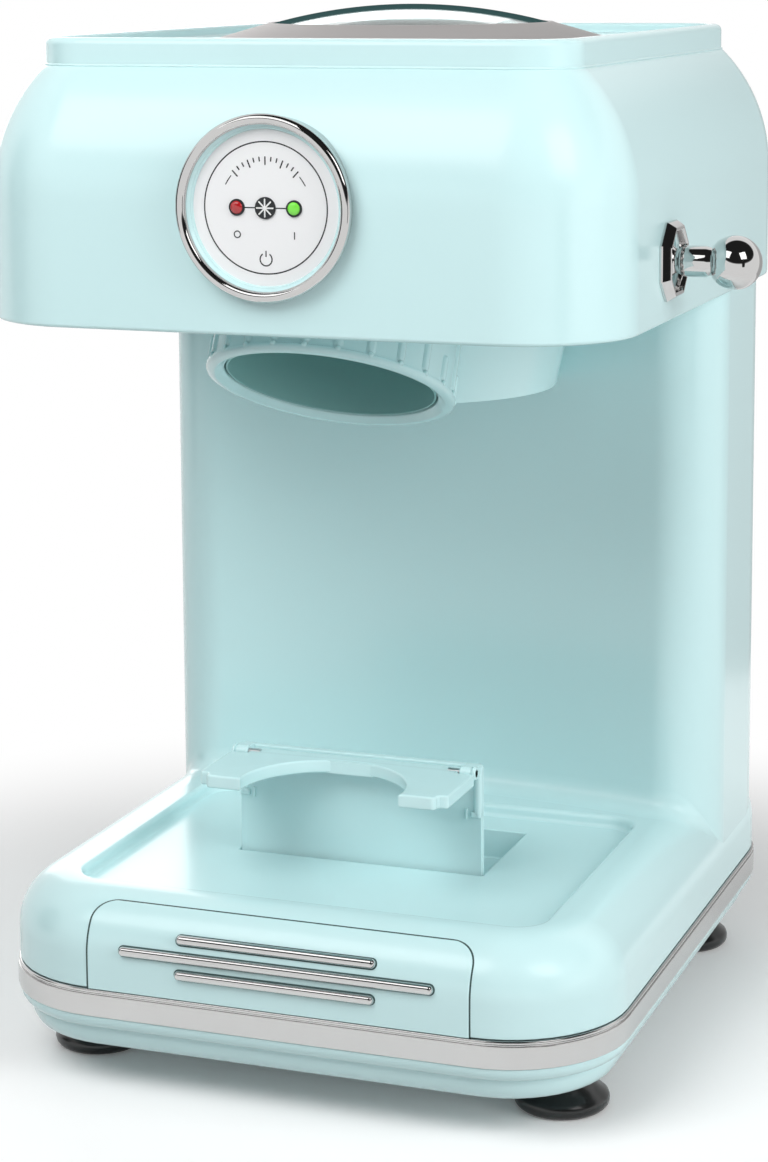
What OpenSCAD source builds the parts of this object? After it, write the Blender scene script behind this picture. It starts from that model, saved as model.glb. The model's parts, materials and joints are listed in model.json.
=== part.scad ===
// Countertop snow-cone machine with a retro rounded body.
// X points to the machine's right, Y to its back and Z up. The origin lies on the
// table, under the middle of the base.

/* [Base] */
// Width over the chrome band
base_w = 205; // [196:1:220]
// Depth over the chrome band
base_d = 243; // [236:1:255]
// Plan corner radius of the chrome band
base_r = 39; // [35:1:42]
// Height of the feet
foot_h = 14; // [11:0.5:18]
// Height of the pan above the feet
pan_h = 11.8; // [10:0.2:15]
// How far the pan tapers in at its bottom edge
pan_taper = 6.6; // [4:0.2:9]
// Thickness of the pan's floor and walls
pan_wall = 2.5; // [2:0.1:3.5]
// Height of the chrome band
band_h = 9.2; // [7:0.2:12]
// Thickness of the chrome band
band_t = 2; // [1.4:0.1:2.6]
// How far the band stands proud of the body
band_proud = 0.8; // [0.4:0.1:1.2]
// Height of the body from the band to the base top
base_h = 28.8; // [26:0.2:34]
// Radius of the shoulder round the base top
shoulder_r = 18; // [14:0.5:20]
// Wall of the body shell
body_wall = 3.5; // [3:0.1:4]

/* [Tray and cone holder] */
// Width of the tray recess
tray_w = 156; // [140:1:160]
// Distance from the base front to the tray recess
tray_front = 22; // [20:0.5:26]
// Depth of the tray recess, front to back
tray_d = 116; // [112:1:120]
// How far the tray is sunk
tray_sink = 4.1; // [3:0.1:5]
// Thickness of the tray floor
tray_t = 2.5; // [2:0.1:3.5]
// Width of the holder wall
holder_w = 84.6; // [76:0.2:92]
// Thickness of the holder wall
holder_t = 4; // [3.4:0.1:4.6]
// Height of the holder wall's top above the tray
holder_h = 36.4; // [34:0.2:40]
// Distance from the base front to the holder wall's face
holder_front = 75; // [72:0.5:80]
// Depth of the well that takes the folded wall
well_sink = 10; // [9:0.2:12]
// Thickness of the holder shelf
shelf_t = 4.3; // [3.8:0.1:5]
// Reach of the shelf in front of its hinge
shelf_reach = 31.5; // [29:0.5:33]
// Radius of the cone's notch in the shelf
notch_r = 27; // [24:0.5:27]

/* [Column and head] */
// Clear height between the base top and the head
bay_h = 179.7; // [160:1:200]
// Depth of the column at its middle
column_d = 84; // [80:0.5:88]
// Radius of the column's front corners
column_nose_r = 18; // [14:0.5:22]
// How far the column's front is hollowed in plan
column_hollow = 9; // [6:0.5:12]
// Width of the head
head_w = 208; // [204:1:222]
// Distance from the base front to the head front
head_setback = 2.9; // [0:0.1:8]
// Plan corner radius of the head
head_r = 35; // [30:1:40]
// Height of the head's upright sides
head_side_h = 38.5; // [36:0.5:46]
// Radius of the head's shoulder
head_shoulder_r = 56.7; // [52:0.1:60]
// Wall of the head shell
head_wall = 3; // [2.5:0.1:3.5]
// Thickness of the head floor
floor_t = 3; // [2.4:0.1:4]
// Height of the raised rim on the head
rim_h = 8.8; // [7.5:0.1:11]
// Width of the rim
rim_w = 4.4; // [3.5:0.1:5]
// Depth of the deck below the rim's top
deck_sink = 3.4; // [2.4:0.1:4]
// Thickness of the deck
deck_t = 3; // [2:0.1:3.4]

/* [Ice path] */
// Distance from the column's front to the cutter's axis
cutter_ahead = 27.5; // [26:0.5:30]
// Inner radius of the hopper
hopper_r = 48; // [44:0.5:50]
// Radius of the lid on the deck
lid_r = 65; // [63:0.5:70]
// Height of the lid's ring above the deck
lid_ring_h = 5.8; // [5:0.2:8]
// Height of the clear dome above its ring
dome_h = 8.5; // [6:0.5:12]
// Distance from the cutter's axis to the middle of the chute's mouth
chute_ahead = 76.8; // [74.5:0.1:79]
// Depth of the mouth's middle below the head
chute_drop = 23.1; // [21:0.1:26]
// Tilt of the chute from upright
chute_tilt = 26; // [22:0.5:28]
// Outer radius of the collar over its ribs
collar_r = 39.5; // [37:0.1:40.5]
// Radius of the collar's mouth
mouth_r = 34.5; // [33:0.1:35.5]
// Number of ribs round the collar
collar_ribs = 24; // [12:1:28]
// Radius of the cutter housing at the head
boss_r = 56; // [54:0.5:58]
// Depth of the cutter housing below the head
boss_h = 31.5; // [28:0.5:36]

/* [Drive] */
// Module of the gear teeth
gear_module = 1.5; // [1.4:0.05:1.55]
// Teeth of the ring gear
gear_teeth = 72; // [68:4:72]
// Teeth of the pinion
pinion_teeth = 16; // [14:2:18]
// Radius of the cutter shaft
shaft_r = 4; // [3:0.1:5]
// Radius of the motor
motor_r = 21.5; // [18:0.5:24]
// Length of the motor
motor_h = 65; // [50:1:80]

/* [Gauge and lever] */
// Outer radius of the gauge bezel
bezel_r = 28.9; // [27:0.1:30]
// Height of the gauge's middle above the head's bottom edge
gauge_up = 38.4; // [36:0.2:42]
// How far the bezel stands out of the head front
bezel_proud = 5.4; // [4:0.1:8]
// Distance from the head front to the lever
lever_back = 69.2; // [62:0.2:80]
// Height of the lever above the head's bottom edge
lever_up = 19; // [18.6:0.1:21]
// Radius of the lever's ball
ball_r = 8.3; // [7:0.1:10]
// Distance of the ball's middle from the head's side
ball_out = 20.5; // [19:0.1:24]
// Radius of the lever's stem
stem_r = 4.4; // [3.8:0.1:4.7]

/* [Fits] */
// Gap between curved faces that sit together
fit = 0.1; // [0.05:0.01:0.15]
// Gap round parts that move past each other
move_gap = 0.3; // [0.25:0.05:0.4]
// Radial clearance of a pin or shaft in its bearing
run_gap = 0.05; // [0.03:0.01:0.08]

/* [Hidden] */

$fn = 72;
arc_steps = 10;
cut = 1;
far = 400;

aqua = [0.72, 0.89, 0.88];
chrome = [0.82, 0.83, 0.84];
steel = [0.66, 0.67, 0.69];
black = [0.06, 0.06, 0.07];
white = [0.96, 0.96, 0.95];
smoke = [0.35, 0.45, 0.46];

// Heights
pan_z = foot_h;
band_z = pan_z + pan_h;
shell_z = band_z + band_h;
base_top = shell_z + base_h;
tray_z = base_top - tray_sink;
shoulder_z = base_top - shoulder_r;
head_z = base_top + bay_h;
floor_top = head_z + floor_t;
head_shoulder_z = head_z + head_side_h;
head_shoulder_angle = 45;
rim_z = head_shoulder_z + head_shoulder_r * sin(head_shoulder_angle);
rim_top = rim_z + rim_h;
deck_z = rim_top - deck_sink;
deck_low = deck_z - deck_t;

// Plan places
front_y = -base_d / 2;
shell_w = base_w - 2 * band_proud;
shell_d = base_d - 2 * band_proud;
shell_r = base_r - band_proud;
column_edge = 0.4;
column_half_w = shell_w / 2 - column_edge;
column_back_y = shell_d / 2 - 3 * column_edge;
column_r = 41;
column_front_y = column_back_y - column_d;
column_nose_y = column_front_y - column_hollow + column_nose_r;
head_front_y = front_y + head_setback;
head_back_y = column_back_y;
head_d = head_back_y - head_front_y;
head_y = (head_front_y + head_back_y) / 2;
rim_inset = head_shoulder_r * (1 - cos(head_shoulder_angle));
cutter_y = column_front_y - cutter_ahead;

// Concave front of the column, touching both corner rounds
nose_x = column_half_w - column_nose_r;
nose_rise = column_nose_y - column_front_y;
hollow_r = (nose_x ^ 2 + nose_rise ^ 2 - column_nose_r ^ 2) / (2 * (column_nose_r - nose_rise));
hollow_angle = atan2(nose_x, hollow_r + nose_rise);

// Base details
pan_edge = 0.6;
pan_groove = 1.2;
pan_groove_h = 0.8;
pan_tier_h = 2.7;
skirt_in = band_t + fit - band_proud;
band_bevel = 0.8;
panel_w = 126;
panel_r = 8;
panel_t = 1.8;
panel_shoulder_angle = 60;
panel_top = shoulder_z + shoulder_r * sin(panel_shoulder_angle);
panel_gap = 0.2;
trim_t = 2;
trim_bar_h = 3;
trim_pitch = 5.4;
trim_lengths = [66, 104, 66];
trim_up = 13.5;
trim_z = shell_z + trim_up;
boss_in_x = 15.7;
boss_in_y = 75.7;
boss_x = shell_w / 2 - boss_in_x;
boss_y = shell_d / 2 - boss_in_y;
screw_r = 1.5;
screw_head_r = 3.4;
screw_head_h = 2;
screw_bite = 8;
screw_hole = 10;
foot_screw_bite = 2;
post_r = 5;
rib_t = 3;
foot_in_x = 23;
foot_in_y = 43;
foot_x = base_w / 2 - foot_in_x;
foot_y = base_d / 2 - foot_in_y;
foot_max_r = 15;
foot_low_r = 10;
foot_top_r = 9;
foot_bulge_z = 3;
foot_screw_r = 2;
foot_sink_r = 4.5;
foot_sink_h = 5;

// Tray and holder
tray_y = front_y + tray_front;
tray_r = 10;
holder_y = front_y + holder_front;
hinge_r = holder_t / 2;
hinge_y = holder_y + hinge_r;
well_z = tray_z - well_sink;
hinge_z = well_z + hinge_r + move_gap + 1.4;
well_w = holder_w + 4 * move_gap;
well_wall = 3;
wall_top = tray_z + holder_h;
holder_pin_r = 1.2;
holder_pin_out = 2.6;
holder_pin_in = 4;
shelf_low = 3.7;
shelf_axis_y = holder_y - shelf_low - move_gap;
shelf_axis_z = wall_top - 1.1;
barrel_r = 2.3;
barrel_len = 5.5;
barrel_web = 3;
well_d = shelf_axis_z + shelf_low - hinge_z + hinge_r + 3 * move_gap;
barrel_in = holder_w / 2 - barrel_len;
shelf_step_w = 3.3;
shelf_step_d = 3;
notch_y = shelf_axis_y - 2 - notch_r;

// Head details
ledge_w = 4;
ledge_h = 3;
column_post_drop = 18;
side_post_in = 8.6;
side_post_back = 10.5;
rear_post_in = 31.3;
rear_post_ahead = 21.5;
column_posts = [
    [column_half_w - side_post_in, column_nose_y + side_post_back],
    [column_half_w - rear_post_in, column_back_y - rear_post_ahead]
];
wire_hole_r = 5;

// Rear
cover_w = 120;
cover_up = 17;
cover_down = 23;
cover_low = base_top + cover_up;
cover_high = head_z - cover_down;
cover_t = 2.2;
cover_lap = 5;
cover_r = 6;
cover_screw_in = 8;
vent_count = 9;
vent_w = 78;
vent_h = 4;
gland_x = 32;
gland_up = 13;
gland_r = 4;
gland_bore_r = 3.2;
gland_flange_r = 5;
gland_flange_t = 2;
gland_z = cover_low + gland_up;
gland_l = 7;

// Ice path
// The mouth keeps its share of the reach from the cutter's axis to the head's front
usual_reach = 126.6;
head_reach = cutter_y - head_front_y;
chute_y = cutter_y - chute_ahead * head_reach / usual_reach;
mouth_z = head_z - chute_drop;
chute_t = 2.4;
chute_r = mouth_r - move_gap;
chute_bore_r = chute_r - chute_t;
chute_step = 4;
chute_flange_t = 1.5;
chute_flange_w = 5;
collar_groove = 0.7;
collar_lip_h = 5;
rib_w = 3;
boss_low_z = head_z - boss_h;
boss_slope = 7.3;
boss_wall = 3;
cavity_back_y = column_front_y - 8;
opening_r = boss_r - 10;
post_bore_r = shaft_r + 2.5;
post_out_r = post_bore_r + 3;
bush_h = 10;
shaft_low = boss_low_z + boss_wall + 1.5;

// Drive
gear_z = floor_top + chute_flange_t + 1.5;
gear_h = 6;
gear_r = gear_module * gear_teeth / 2;
pinion_r = gear_module * pinion_teeth / 2;
gear_hub_r = 9;
gear_rim = 9;
gear_spokes = 4;
gear_spoke_w = 8;
disc_z = gear_z + gear_h;
disc_t = 2;
disc_r = hopper_r + 2;
disc_top = disc_z + disc_t;
blade_l = 26;
blade_w = 10;
blade_t = 1.6;
blade_in = 14;
blade_slot_w = 4;
blade_screw_in = 5;
nut_r = 7;
nut_h = 4;
hopper_t = 2;
hopper_gap = 0.5;
hopper_flange_r = 60;
hopper_flange_t = 3;
motor_y = cutter_y + gear_r + pinion_r;
bracket_t = 2.5;
bracket_w = 64;
bracket_d = 2 * motor_r + 14;
motor_top = head_z - bracket_t;
motor_neck_r = 8.5;
motor_neck_h = 3;
motor_shaft_r = 2.5;
motor_shaft_in = 35;
motor_screw_x = 14;
pinion_hole_r = motor_screw_x + screw_head_r;

// Lid
lid_seat_r = 57;
lid_lip_r = 47;
lid_lip_w = 3.5;
lid_lip_h = 2.4;
lid_skin = 2.2;
deck_hole_r = 56;
spigot_t = 2.4;
spigot_h = 1.5;
gasket_gap = 0.1;
dome_t = 2.4;
dome_r = lid_lip_r - 1 - fit;
dome_z = deck_z + lid_ring_h - lid_lip_h;
dome_rise = dome_h + lid_lip_h;
dome_sphere_r = (dome_r ^ 2 + dome_rise ^ 2) / (2 * dome_rise);

// Gauge, measured forward from the back of its tube
gauge_z = head_z + gauge_up;
gauge_l = 19;
gauge_y = head_front_y - bezel_proud + gauge_l;
bezel_lip_r = 23.6;
bezel_tube_t = 3.4;
bezel_tube_in = bezel_r - bezel_tube_t;
bezel_round = 2.4;
dial_t = 1.5;
dial_front = gauge_l - 4.5;
dial_r = bezel_tube_in - fit;
cup_t = 3.4;
cup_ledge = 3;
cup_back_t = 2;
board_z = 6;
board_t = 1.6;
lamp_x = 9.1;
lamp_r = 2.4;
lamp_out = 1.2;
hub_r = 3.4;
hub_t = 0.8;

// Lever
lever_y = head_front_y + lever_back;
lever_z = head_z + lever_up;
head_side_x = head_w / 2;
lever_plate_t = 5;
lever_plate_w = 19;
lever_plate_h = 24.2;
lever_plate_cut = 6;
lever_slot_w = 11;
lever_slot_h = 16.5;
lever_bevel = 1.2;
pivot_in = 10;
pivot_x = head_side_x - pivot_in;
pivot_pin_r = 1.5;
eye_r = stem_r - 0.2;
eye_w = 11.6;
ear_t = 2.5;
ear_gap = eye_w + 0.4;
ear_half_h = 8;
ear_reach = 32;
ear_end_x = head_side_x - ear_reach;
bracket_plate_t = 2.5;
bracket_half = 12;
tail_r = 3;
tail_l = 6.5;
switch_l = 12;
switch_h = 15;
plunger_r = 1.5;
plunger_l = 1.4;
ball_bore_r = 3;
ball_bore_h = 6;
stem_neck = 1.2;

// Wiring
wire_r = 2.2;
wire_knee_r = 2.4;
wire_x = 60;
block_w = 20;
block_d = 16;
block_h = 14;
wire_ahead = 21.5;
wire_y = column_back_y - wire_ahead;
wire_up = 8;
wire_z = floor_top + wire_up;
wire_side_gap = 6;
wire_side_x = ear_end_x - wire_side_gap;

// Points along an arc about c, from angle a0 to angle a1
function arc(c, r, a0, a1) =
    [for (i = [0:arc_steps]) let (a = a0 + (a1 - a0) * i / arc_steps) c + r * [cos(a), sin(a)]];

// Edge profile of [inset, height] points: upright to start, then round by angle
function shoulder_profile(bottom, start, r, angle) = concat(
    [[0, bottom]],
    [for (i = [0:arc_steps]) let (a = angle * i / arc_steps) [r * (1 - cos(a)), start + r * sin(a)]]
);

// Closed outline of a profile and its mirror image
function mirrored(half, profile) = concat(
    [for (p = profile) [half - p[0], p[1]]],
    [for (i = [len(profile) - 1:-1:0]) [profile[i][0] - half, profile[i][1]]]
);

// Solid with a rounded-rectangle plan whose edge follows a profile
module rounded_form(w, d, r, profile) {
    low = profile[0][1];
    high = profile[len(profile) - 1][1];
    quarter = concat([[0, low]], [for (p = profile) [r - p[0], p[1]]], [[0, high]]);
    for (turn = [0:3]) {
        side_x = (turn == 0 || turn == 3) ? 1 : -1;
        side_y = turn < 2 ? 1 : -1;
        translate([side_x * (w / 2 - r), side_y * (d / 2 - r), 0])
            rotate([0, 0, 90 * turn])
                rotate_extrude(angle = 90) polygon(quarter);
    }
    rotate([90, 0, 90]) linear_extrude(w - 2 * r, center = true) polygon(mirrored(d / 2, profile));
    rotate([90, 0, 0]) linear_extrude(d - 2 * r, center = true) polygon(mirrored(w / 2, profile));
}

// Upright rounded block between two heights
module rounded_block(w, d, r, low, high) {
    rounded_form(w, d, r, [[0, low], [0, high]]);
}

module rounded_plan(w, d, r) {
    square([w - 2 * r, d], center = true);
    square([w, d - 2 * r], center = true);
    for (x = [-1, 1], y = [-1, 1]) translate([x * (w / 2 - r), y * (d / 2 - r)]) circle(r);
}

// Places its children at the four corners of a rectangle
module at_corners(x, y) {
    for (side_x = [-1, 1], side_y = [-1, 1]) translate([side_x * x, side_y * y, 0]) children();
}

// Hole between two inclined ends: an upright slot through the X direction
module slot_x(w, h, low, high) {
    translate([low, 0, 0]) rotate([90, 0, 90]) linear_extrude(high - low) {
        for (side = [-1, 1]) translate([0, side * (h - w) / 2]) circle(w / 2);
        square([w, h - w], center = true);
    }
}

module tube(outer, inner, low, high) {
    translate([0, 0, low]) difference() {
        cylinder(r = outer, h = high - low);
        translate([0, 0, -cut]) cylinder(r = inner, h = high - low + 2 * cut);
    }
}

// Base body shrunk all round by a wall
module base_form(shrink, bottom) {
    rounded_form(shell_w - 2 * shrink, shell_d - 2 * shrink, shell_r - shrink,
        shoulder_profile(bottom, shoulder_z, shoulder_r - shrink, 90));
}

// Plan of the column, shrunk by a wall: hollowed front, rounded back corners
module column_plan(shrink) {
    hollow_c = [0, column_front_y - hollow_r];
    nose_c = [nose_x, column_nose_y];
    depth = 2 * column_back_y;
    front = concat(
        [[-far, column_nose_y]],
        arc([-nose_x, column_nose_y], column_nose_r - shrink, 180, 270 + hollow_angle),
        arc(hollow_c, hollow_r + shrink, 90 + hollow_angle, 90 - hollow_angle),
        arc(nose_c, column_nose_r - shrink, 270 - hollow_angle, 360),
        [[far, column_nose_y], [far, far], [-far, far]]
    );
    intersection() {
        rounded_plan(2 * (column_half_w - shrink), depth - 2 * shrink, column_r - shrink);
        polygon(front);
    }
}

// Head body shrunk all round by a wall, run on past its shoulder by an overrun
module head_form(shrink, bottom, overrun) {
    r = head_shoulder_r - shrink;
    profile = shoulder_profile(bottom, head_shoulder_z, r, head_shoulder_angle);
    last = profile[len(profile) - 1];
    run_on = overrun > 0 ? [[last[0] + overrun, last[1] + overrun]] : [];
    translate([0, head_y, 0])
        rounded_form(head_w - 2 * shrink, head_d - 2 * shrink, head_r - shrink, concat(profile, run_on));
}

// Frame of the chute: Z runs up its axis from the middle of the mouth
module on_chute() {
    translate([0, chute_y, mouth_z]) rotate([-chute_tilt, 0, 0]) children();
}

// Frame of the gauge: Z runs forward from the back of its tube
module on_gauge() {
    translate([0, gauge_y, gauge_z]) rotate([90, 0, 0]) children();
}

module on_lever() {
    translate([0, lever_y, lever_z]) children();
}

module on_cutter() {
    translate([0, cutter_y, 0]) children();
}

module on_motor() {
    translate([0, motor_y, 0]) children();
}

// Space inside the cutter housing, in the machine's frame
module boss_cavity(low, high) {
    slope = boss_slope / boss_h;
    r_at_head = boss_r - boss_wall;
    intersection() {
        on_cutter() translate([0, 0, low])
            cylinder(r1 = r_at_head - slope * (head_z - low), r2 = r_at_head + slope * (high - head_z),
                h = high - low);
        translate([-far / 2, -far + cavity_back_y, 0]) cube([far, far, far]);
    }
}

module foot(side_x, side_y) {
    rise = foot_h - foot_bulge_z;
    side = [for (i = [0:arc_steps]) let (a = 90 * i / arc_steps)
        [foot_top_r + (foot_max_r - foot_top_r) * cos(a), foot_bulge_z + rise * sin(a)]];
    color(black) translate([side_x * foot_x, side_y * foot_y, 0]) difference() {
        rotate_extrude() polygon(concat([[0, 0], [foot_low_r, 0]], side, [[0, foot_h]]));
        translate([0, 0, -cut]) cylinder(r = foot_sink_r, h = foot_sink_h + cut);
        translate([0, 0, -cut]) cylinder(r = foot_screw_r + fit, h = foot_h + 2 * cut);
    }
}

module foot_front_left() {
    foot(-1, -1);
}

module foot_front_right() {
    foot(1, -1);
}

module foot_rear_left() {
    foot(-1, 1);
}

module foot_rear_right() {
    foot(1, 1);
}

module foot_screws() {
    color(steel) at_corners(foot_x, foot_y) {
        translate([0, 0, foot_sink_h - screw_head_h]) cylinder(r = foot_sink_r - 2 * fit, h = screw_head_h);
        translate([0, 0, foot_sink_h])
            cylinder(r = foot_screw_r, h = pan_z + pan_wall + foot_screw_bite - foot_sink_h);
    }
}

module base_pan() {
    curve_h = pan_h - pan_tier_h - pan_groove_h;
    curve = [for (i = [0:arc_steps]) let (a = 90 * i / arc_steps)
        [pan_edge + (pan_taper - pan_edge) * (1 - sin(a)), pan_z + curve_h * (1 - cos(a))]];
    groove = [
        [pan_edge + pan_groove, pan_z + curve_h],
        [pan_edge + pan_groove, pan_z + curve_h + pan_groove_h],
        [pan_edge, pan_z + curve_h + pan_groove_h],
        [pan_edge, band_z]
    ];
    inner = pan_edge + pan_groove + pan_wall;
    color(aqua) difference() {
        rounded_form(base_w, base_d, base_r, concat(curve, groove));
        rounded_block(base_w - 2 * (inner + pan_taper), base_d - 2 * (inner + pan_taper),
            base_r - inner - pan_taper, pan_z + pan_wall, pan_z + curve_h);
        rounded_block(base_w - 2 * inner, base_d - 2 * inner, base_r - inner, pan_z + curve_h, band_z + cut);
        at_corners(boss_x, boss_y) translate([0, 0, pan_z - cut])
            cylinder(r = screw_r + fit, h = pan_wall + 2 * cut);
        at_corners(foot_x, foot_y) translate([0, 0, pan_z - cut])
            cylinder(r = foot_screw_r + fit, h = pan_wall + 2 * cut);
    }
}

module pan_screws() {
    color(steel) at_corners(boss_x, boss_y) {
        translate([0, 0, pan_z - screw_head_h]) cylinder(r = screw_head_r, h = screw_head_h);
        translate([0, 0, pan_z]) cylinder(r = screw_r, h = pan_wall + screw_bite);
    }
}

module chrome_band() {
    profile = [
        [band_bevel, band_z], [0, band_z + band_bevel], [0, shell_z - band_bevel], [band_bevel, shell_z]
    ];
    color(chrome) difference() {
        rounded_form(base_w, base_d, base_r, profile);
        rounded_block(base_w - 2 * band_t, base_d - 2 * band_t, base_r - band_t, band_z - cut, shell_z + cut);
    }
}

// Upright prism over the front panel's outline, grown by a margin
module panel_prism(margin) {
    top = panel_top + margin;
    half = panel_w / 2 + margin;
    outline = concat(
        [[-half, shell_z], [half, shell_z]],
        arc([half - panel_r, top - panel_r], panel_r, 0, 90),
        arc([panel_r - half, top - panel_r], panel_r, 90, 180)
    );
    translate([0, front_y + shoulder_r, 0]) rotate([90, 0, 0])
        linear_extrude(2 * shoulder_r) polygon(outline);
}

module body_shell() {
    post_h = tray_z - tray_t - pan_z - pan_wall;
    rib_run = shell_w / 2 - body_wall / 2 - boss_x;
    back_open_w = cover_w - 2 * (cover_lap + cover_screw_in);
    back_open_h = cover_high - cover_low - 2 * cover_lap;
    color(aqua) difference() {
        union() {
            difference() {
                union() {
                    base_form(0, shell_z);
                    rounded_block(shell_w - 2 * skirt_in, shell_d - 2 * skirt_in, shell_r - skirt_in,
                        band_z, shell_z + cut);
                    translate([0, 0, shell_z + cut]) linear_extrude(head_z - shell_z - cut) column_plan(0);
                }
                intersection() {
                    base_form(body_wall, band_z - cut);
                    translate([-far / 2, -far / 2, 0]) cube([far, far, tray_z - tray_t]);
                }
                translate([0, 0, band_z - cut])
                    linear_extrude(head_z - band_z + 2 * cut) column_plan(body_wall);
            }
            translate([-well_w / 2 - well_wall, holder_y - move_gap - well_wall, well_z - tray_t])
                cube([well_w + 2 * well_wall, well_d + 2 * well_wall, tray_z - tray_t / 2 - well_z + tray_t]);
            at_corners(boss_x, boss_y) translate([0, 0, pan_z + pan_wall]) cylinder(r = post_r, h = post_h);
            for (side_x = [-1, 1], side_y = [-1, 1])
                translate([side_x * (boss_x + rib_run / 2), side_y * boss_y, shell_z + band_h / 2])
                    cube([rib_run, rib_t, 2 * band_h], center = true);
            for (side_x = [-1, 1], post = column_posts)
                translate([side_x * post[0], post[1], head_z - column_post_drop]) {
                    cylinder(r = post_r, h = column_post_drop);
                    translate([side_x > 0 ? 0 : -post_r - rib_t, -rib_t / 2, 0])
                        cube([post_r + rib_t, rib_t, column_post_drop]);
                    if (post[0] < nose_x)
                        translate([-rib_t / 2, 0, 0])
                            cube([rib_t, column_back_y - post[1] - cut, column_post_drop]);
                }
        }
        translate([0, tray_y + tray_d / 2, 0])
            rounded_block(tray_w, tray_d, tray_r, tray_z, base_top + cut);
        translate([-well_w / 2, holder_y - move_gap, well_z]) cube([well_w, well_d, well_sink + cut]);
        translate([-holder_w / 2 - holder_pin_out - move_gap, hinge_y, hinge_z]) rotate([0, 90, 0])
            cylinder(r = holder_pin_r + run_gap, h = holder_w + 2 * (holder_pin_out + move_gap));
        difference() {
            panel_prism(panel_gap);
            base_form(panel_t + fit, band_z);
        }
        at_corners(boss_x, boss_y) translate([0, 0, pan_z])
            cylinder(r = screw_r + fit, h = pan_wall + screw_hole);
        for (side_x = [-1, 1], post = column_posts)
            translate([side_x * post[0], post[1], head_z - screw_hole])
                cylinder(r = screw_r + fit, h = screw_hole + cut);
        translate([-back_open_w / 2, column_back_y - 2 * body_wall, cover_low + cover_lap])
            cube([back_open_w, 3 * body_wall, back_open_h]);
        at_cover_screws() rotate([90, 0, 0]) cylinder(r = screw_r + fit, h = 2 * body_wall);
    }
}

module front_panel() {
    color(aqua) difference() {
        intersection() {
            base_form(0, shell_z);
            panel_prism(0);
        }
        base_form(panel_t, band_z);
    }
}

// Front view of the trim's round-ended bars
module trim_bars() {
    for (i = [0:len(trim_lengths) - 1]) translate([0, trim_z + (1 - i) * trim_pitch]) {
        run = trim_lengths[i] - trim_bar_h;
        square([run, trim_bar_h], center = true);
        for (side = [-1, 1]) translate([side * run / 2, 0]) circle(trim_bar_h / 2);
    }
}

module front_trim() {
    color(chrome) difference() {
        intersection() {
            base_form(-trim_t, shell_z);
            translate([0, front_y + shoulder_r, 0]) rotate([90, 0, 0])
                linear_extrude(2 * shoulder_r) trim_bars();
        }
        base_form(0, band_z);
    }
}

// Places its children on the rear cover's four screws, on the column's back
module at_cover_screws() {
    mid_z = (cover_low + cover_high) / 2;
    x = cover_w / 2 - cover_screw_in;
    z = (cover_high - cover_low) / 2 - cover_screw_in;
    for (side_x = [-1, 1], side_z = [-1, 1])
        translate([side_x * x, column_back_y + cut, mid_z + side_z * z]) children();
}

// Places its children in the cord gland's frame, on the rear cover's outer face
module on_gland() {
    translate([gland_x, column_back_y + cover_t, gland_z]) rotate([90, 0, 0]) children();
}

module rear_cover() {
    h = cover_high - cover_low;
    pitch = h / (vent_count + 3);
    color(aqua) difference() {
        translate([0, column_back_y + cover_t, (cover_low + cover_high) / 2]) rotate([90, 0, 0])
            linear_extrude(cover_t) difference() {
                rounded_plan(cover_w, h, cover_r);
                for (i = [0:vent_count - 1]) translate([0, (i - (vent_count - 1) / 2) * pitch])
                    rounded_plan(vent_w, vent_h, vent_h / 2 - fit);
            }
        at_cover_screws() translate([0, cover_t, 0]) rotate([90, 0, 0])
            cylinder(r = screw_r + fit, h = cover_t + 2 * cut);
        on_gland() translate([0, 0, -cut]) cylinder(r = gland_r + fit, h = cover_t + 2 * cut);
    }
}

module cover_screws() {
    color(steel) at_cover_screws() translate([0, cover_t - cut, 0]) rotate([90, 0, 0]) {
        translate([0, 0, -screw_head_h]) cylinder(r = screw_head_r, h = screw_head_h);
        cylinder(r = screw_r, h = cover_t + body_wall + 1);
    }
}

module cord_gland() {
    color(black) on_gland() difference() {
        union() {
            translate([0, 0, -gland_flange_t]) cylinder(r = gland_flange_r, h = gland_flange_t);
            cylinder(r = gland_r, h = gland_l);
        }
        translate([0, 0, -gland_flange_t - cut])
            cylinder(r = gland_bore_r, h = gland_l + gland_flange_t + 2 * cut);
    }
}

module terminal_block() {
    color(white) translate([wire_x - block_w / 2, wire_y - block_d / 2, pan_z + pan_wall])
        cube([block_w, block_d, block_h]);
}

// Straight run of wire between two points
module wire_run(a, b) {
    v = b - a;
    translate(a) rotate([0, acos(v[2] / norm(v)), atan2(v[1], v[0])]) cylinder(r = wire_r, h = norm(v));
}

module wire_harness() {
    route = [
        [wire_x, wire_y, pan_z + pan_wall + block_h],
        [wire_x, wire_y, wire_z],
        [wire_side_x, cutter_y, wire_z],
        [wire_side_x, lever_y, lever_z],
        [ear_end_x + 1, lever_y, lever_z]
    ];
    color(black) {
        for (i = [0:len(route) - 2]) wire_run(route[i], route[i + 1]);
        for (i = [1:len(route) - 2]) translate(route[i]) sphere(wire_knee_r);
    }
}

module head_floor() {
    inset = head_wall + fit;
    color(aqua) difference() {
        translate([0, head_y, head_z]) linear_extrude(floor_t)
            rounded_plan(head_w - 2 * inset, head_d - 2 * inset, head_r - inset);
        intersection() {
            on_cutter() translate([0, 0, head_z - cut]) cylinder(r = opening_r, h = floor_t + 2 * cut);
            translate([-far / 2, cavity_back_y - far, 0]) cube([far, far, far]);
        }
        on_chute() cylinder(r = chute_r + fit, h = 3 * chute_drop);
        on_motor() translate([0, 0, head_z - cut]) cylinder(r = pinion_hole_r, h = floor_t + 2 * cut);
        translate([wire_x, wire_y, head_z - cut]) cylinder(r = wire_hole_r, h = floor_t + 2 * cut);
        for (side_x = [-1, 1], post = column_posts)
            translate([side_x * post[0], post[1], head_z - cut])
                cylinder(r = screw_r + fit, h = floor_t + 2 * cut);
    }
}

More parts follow.
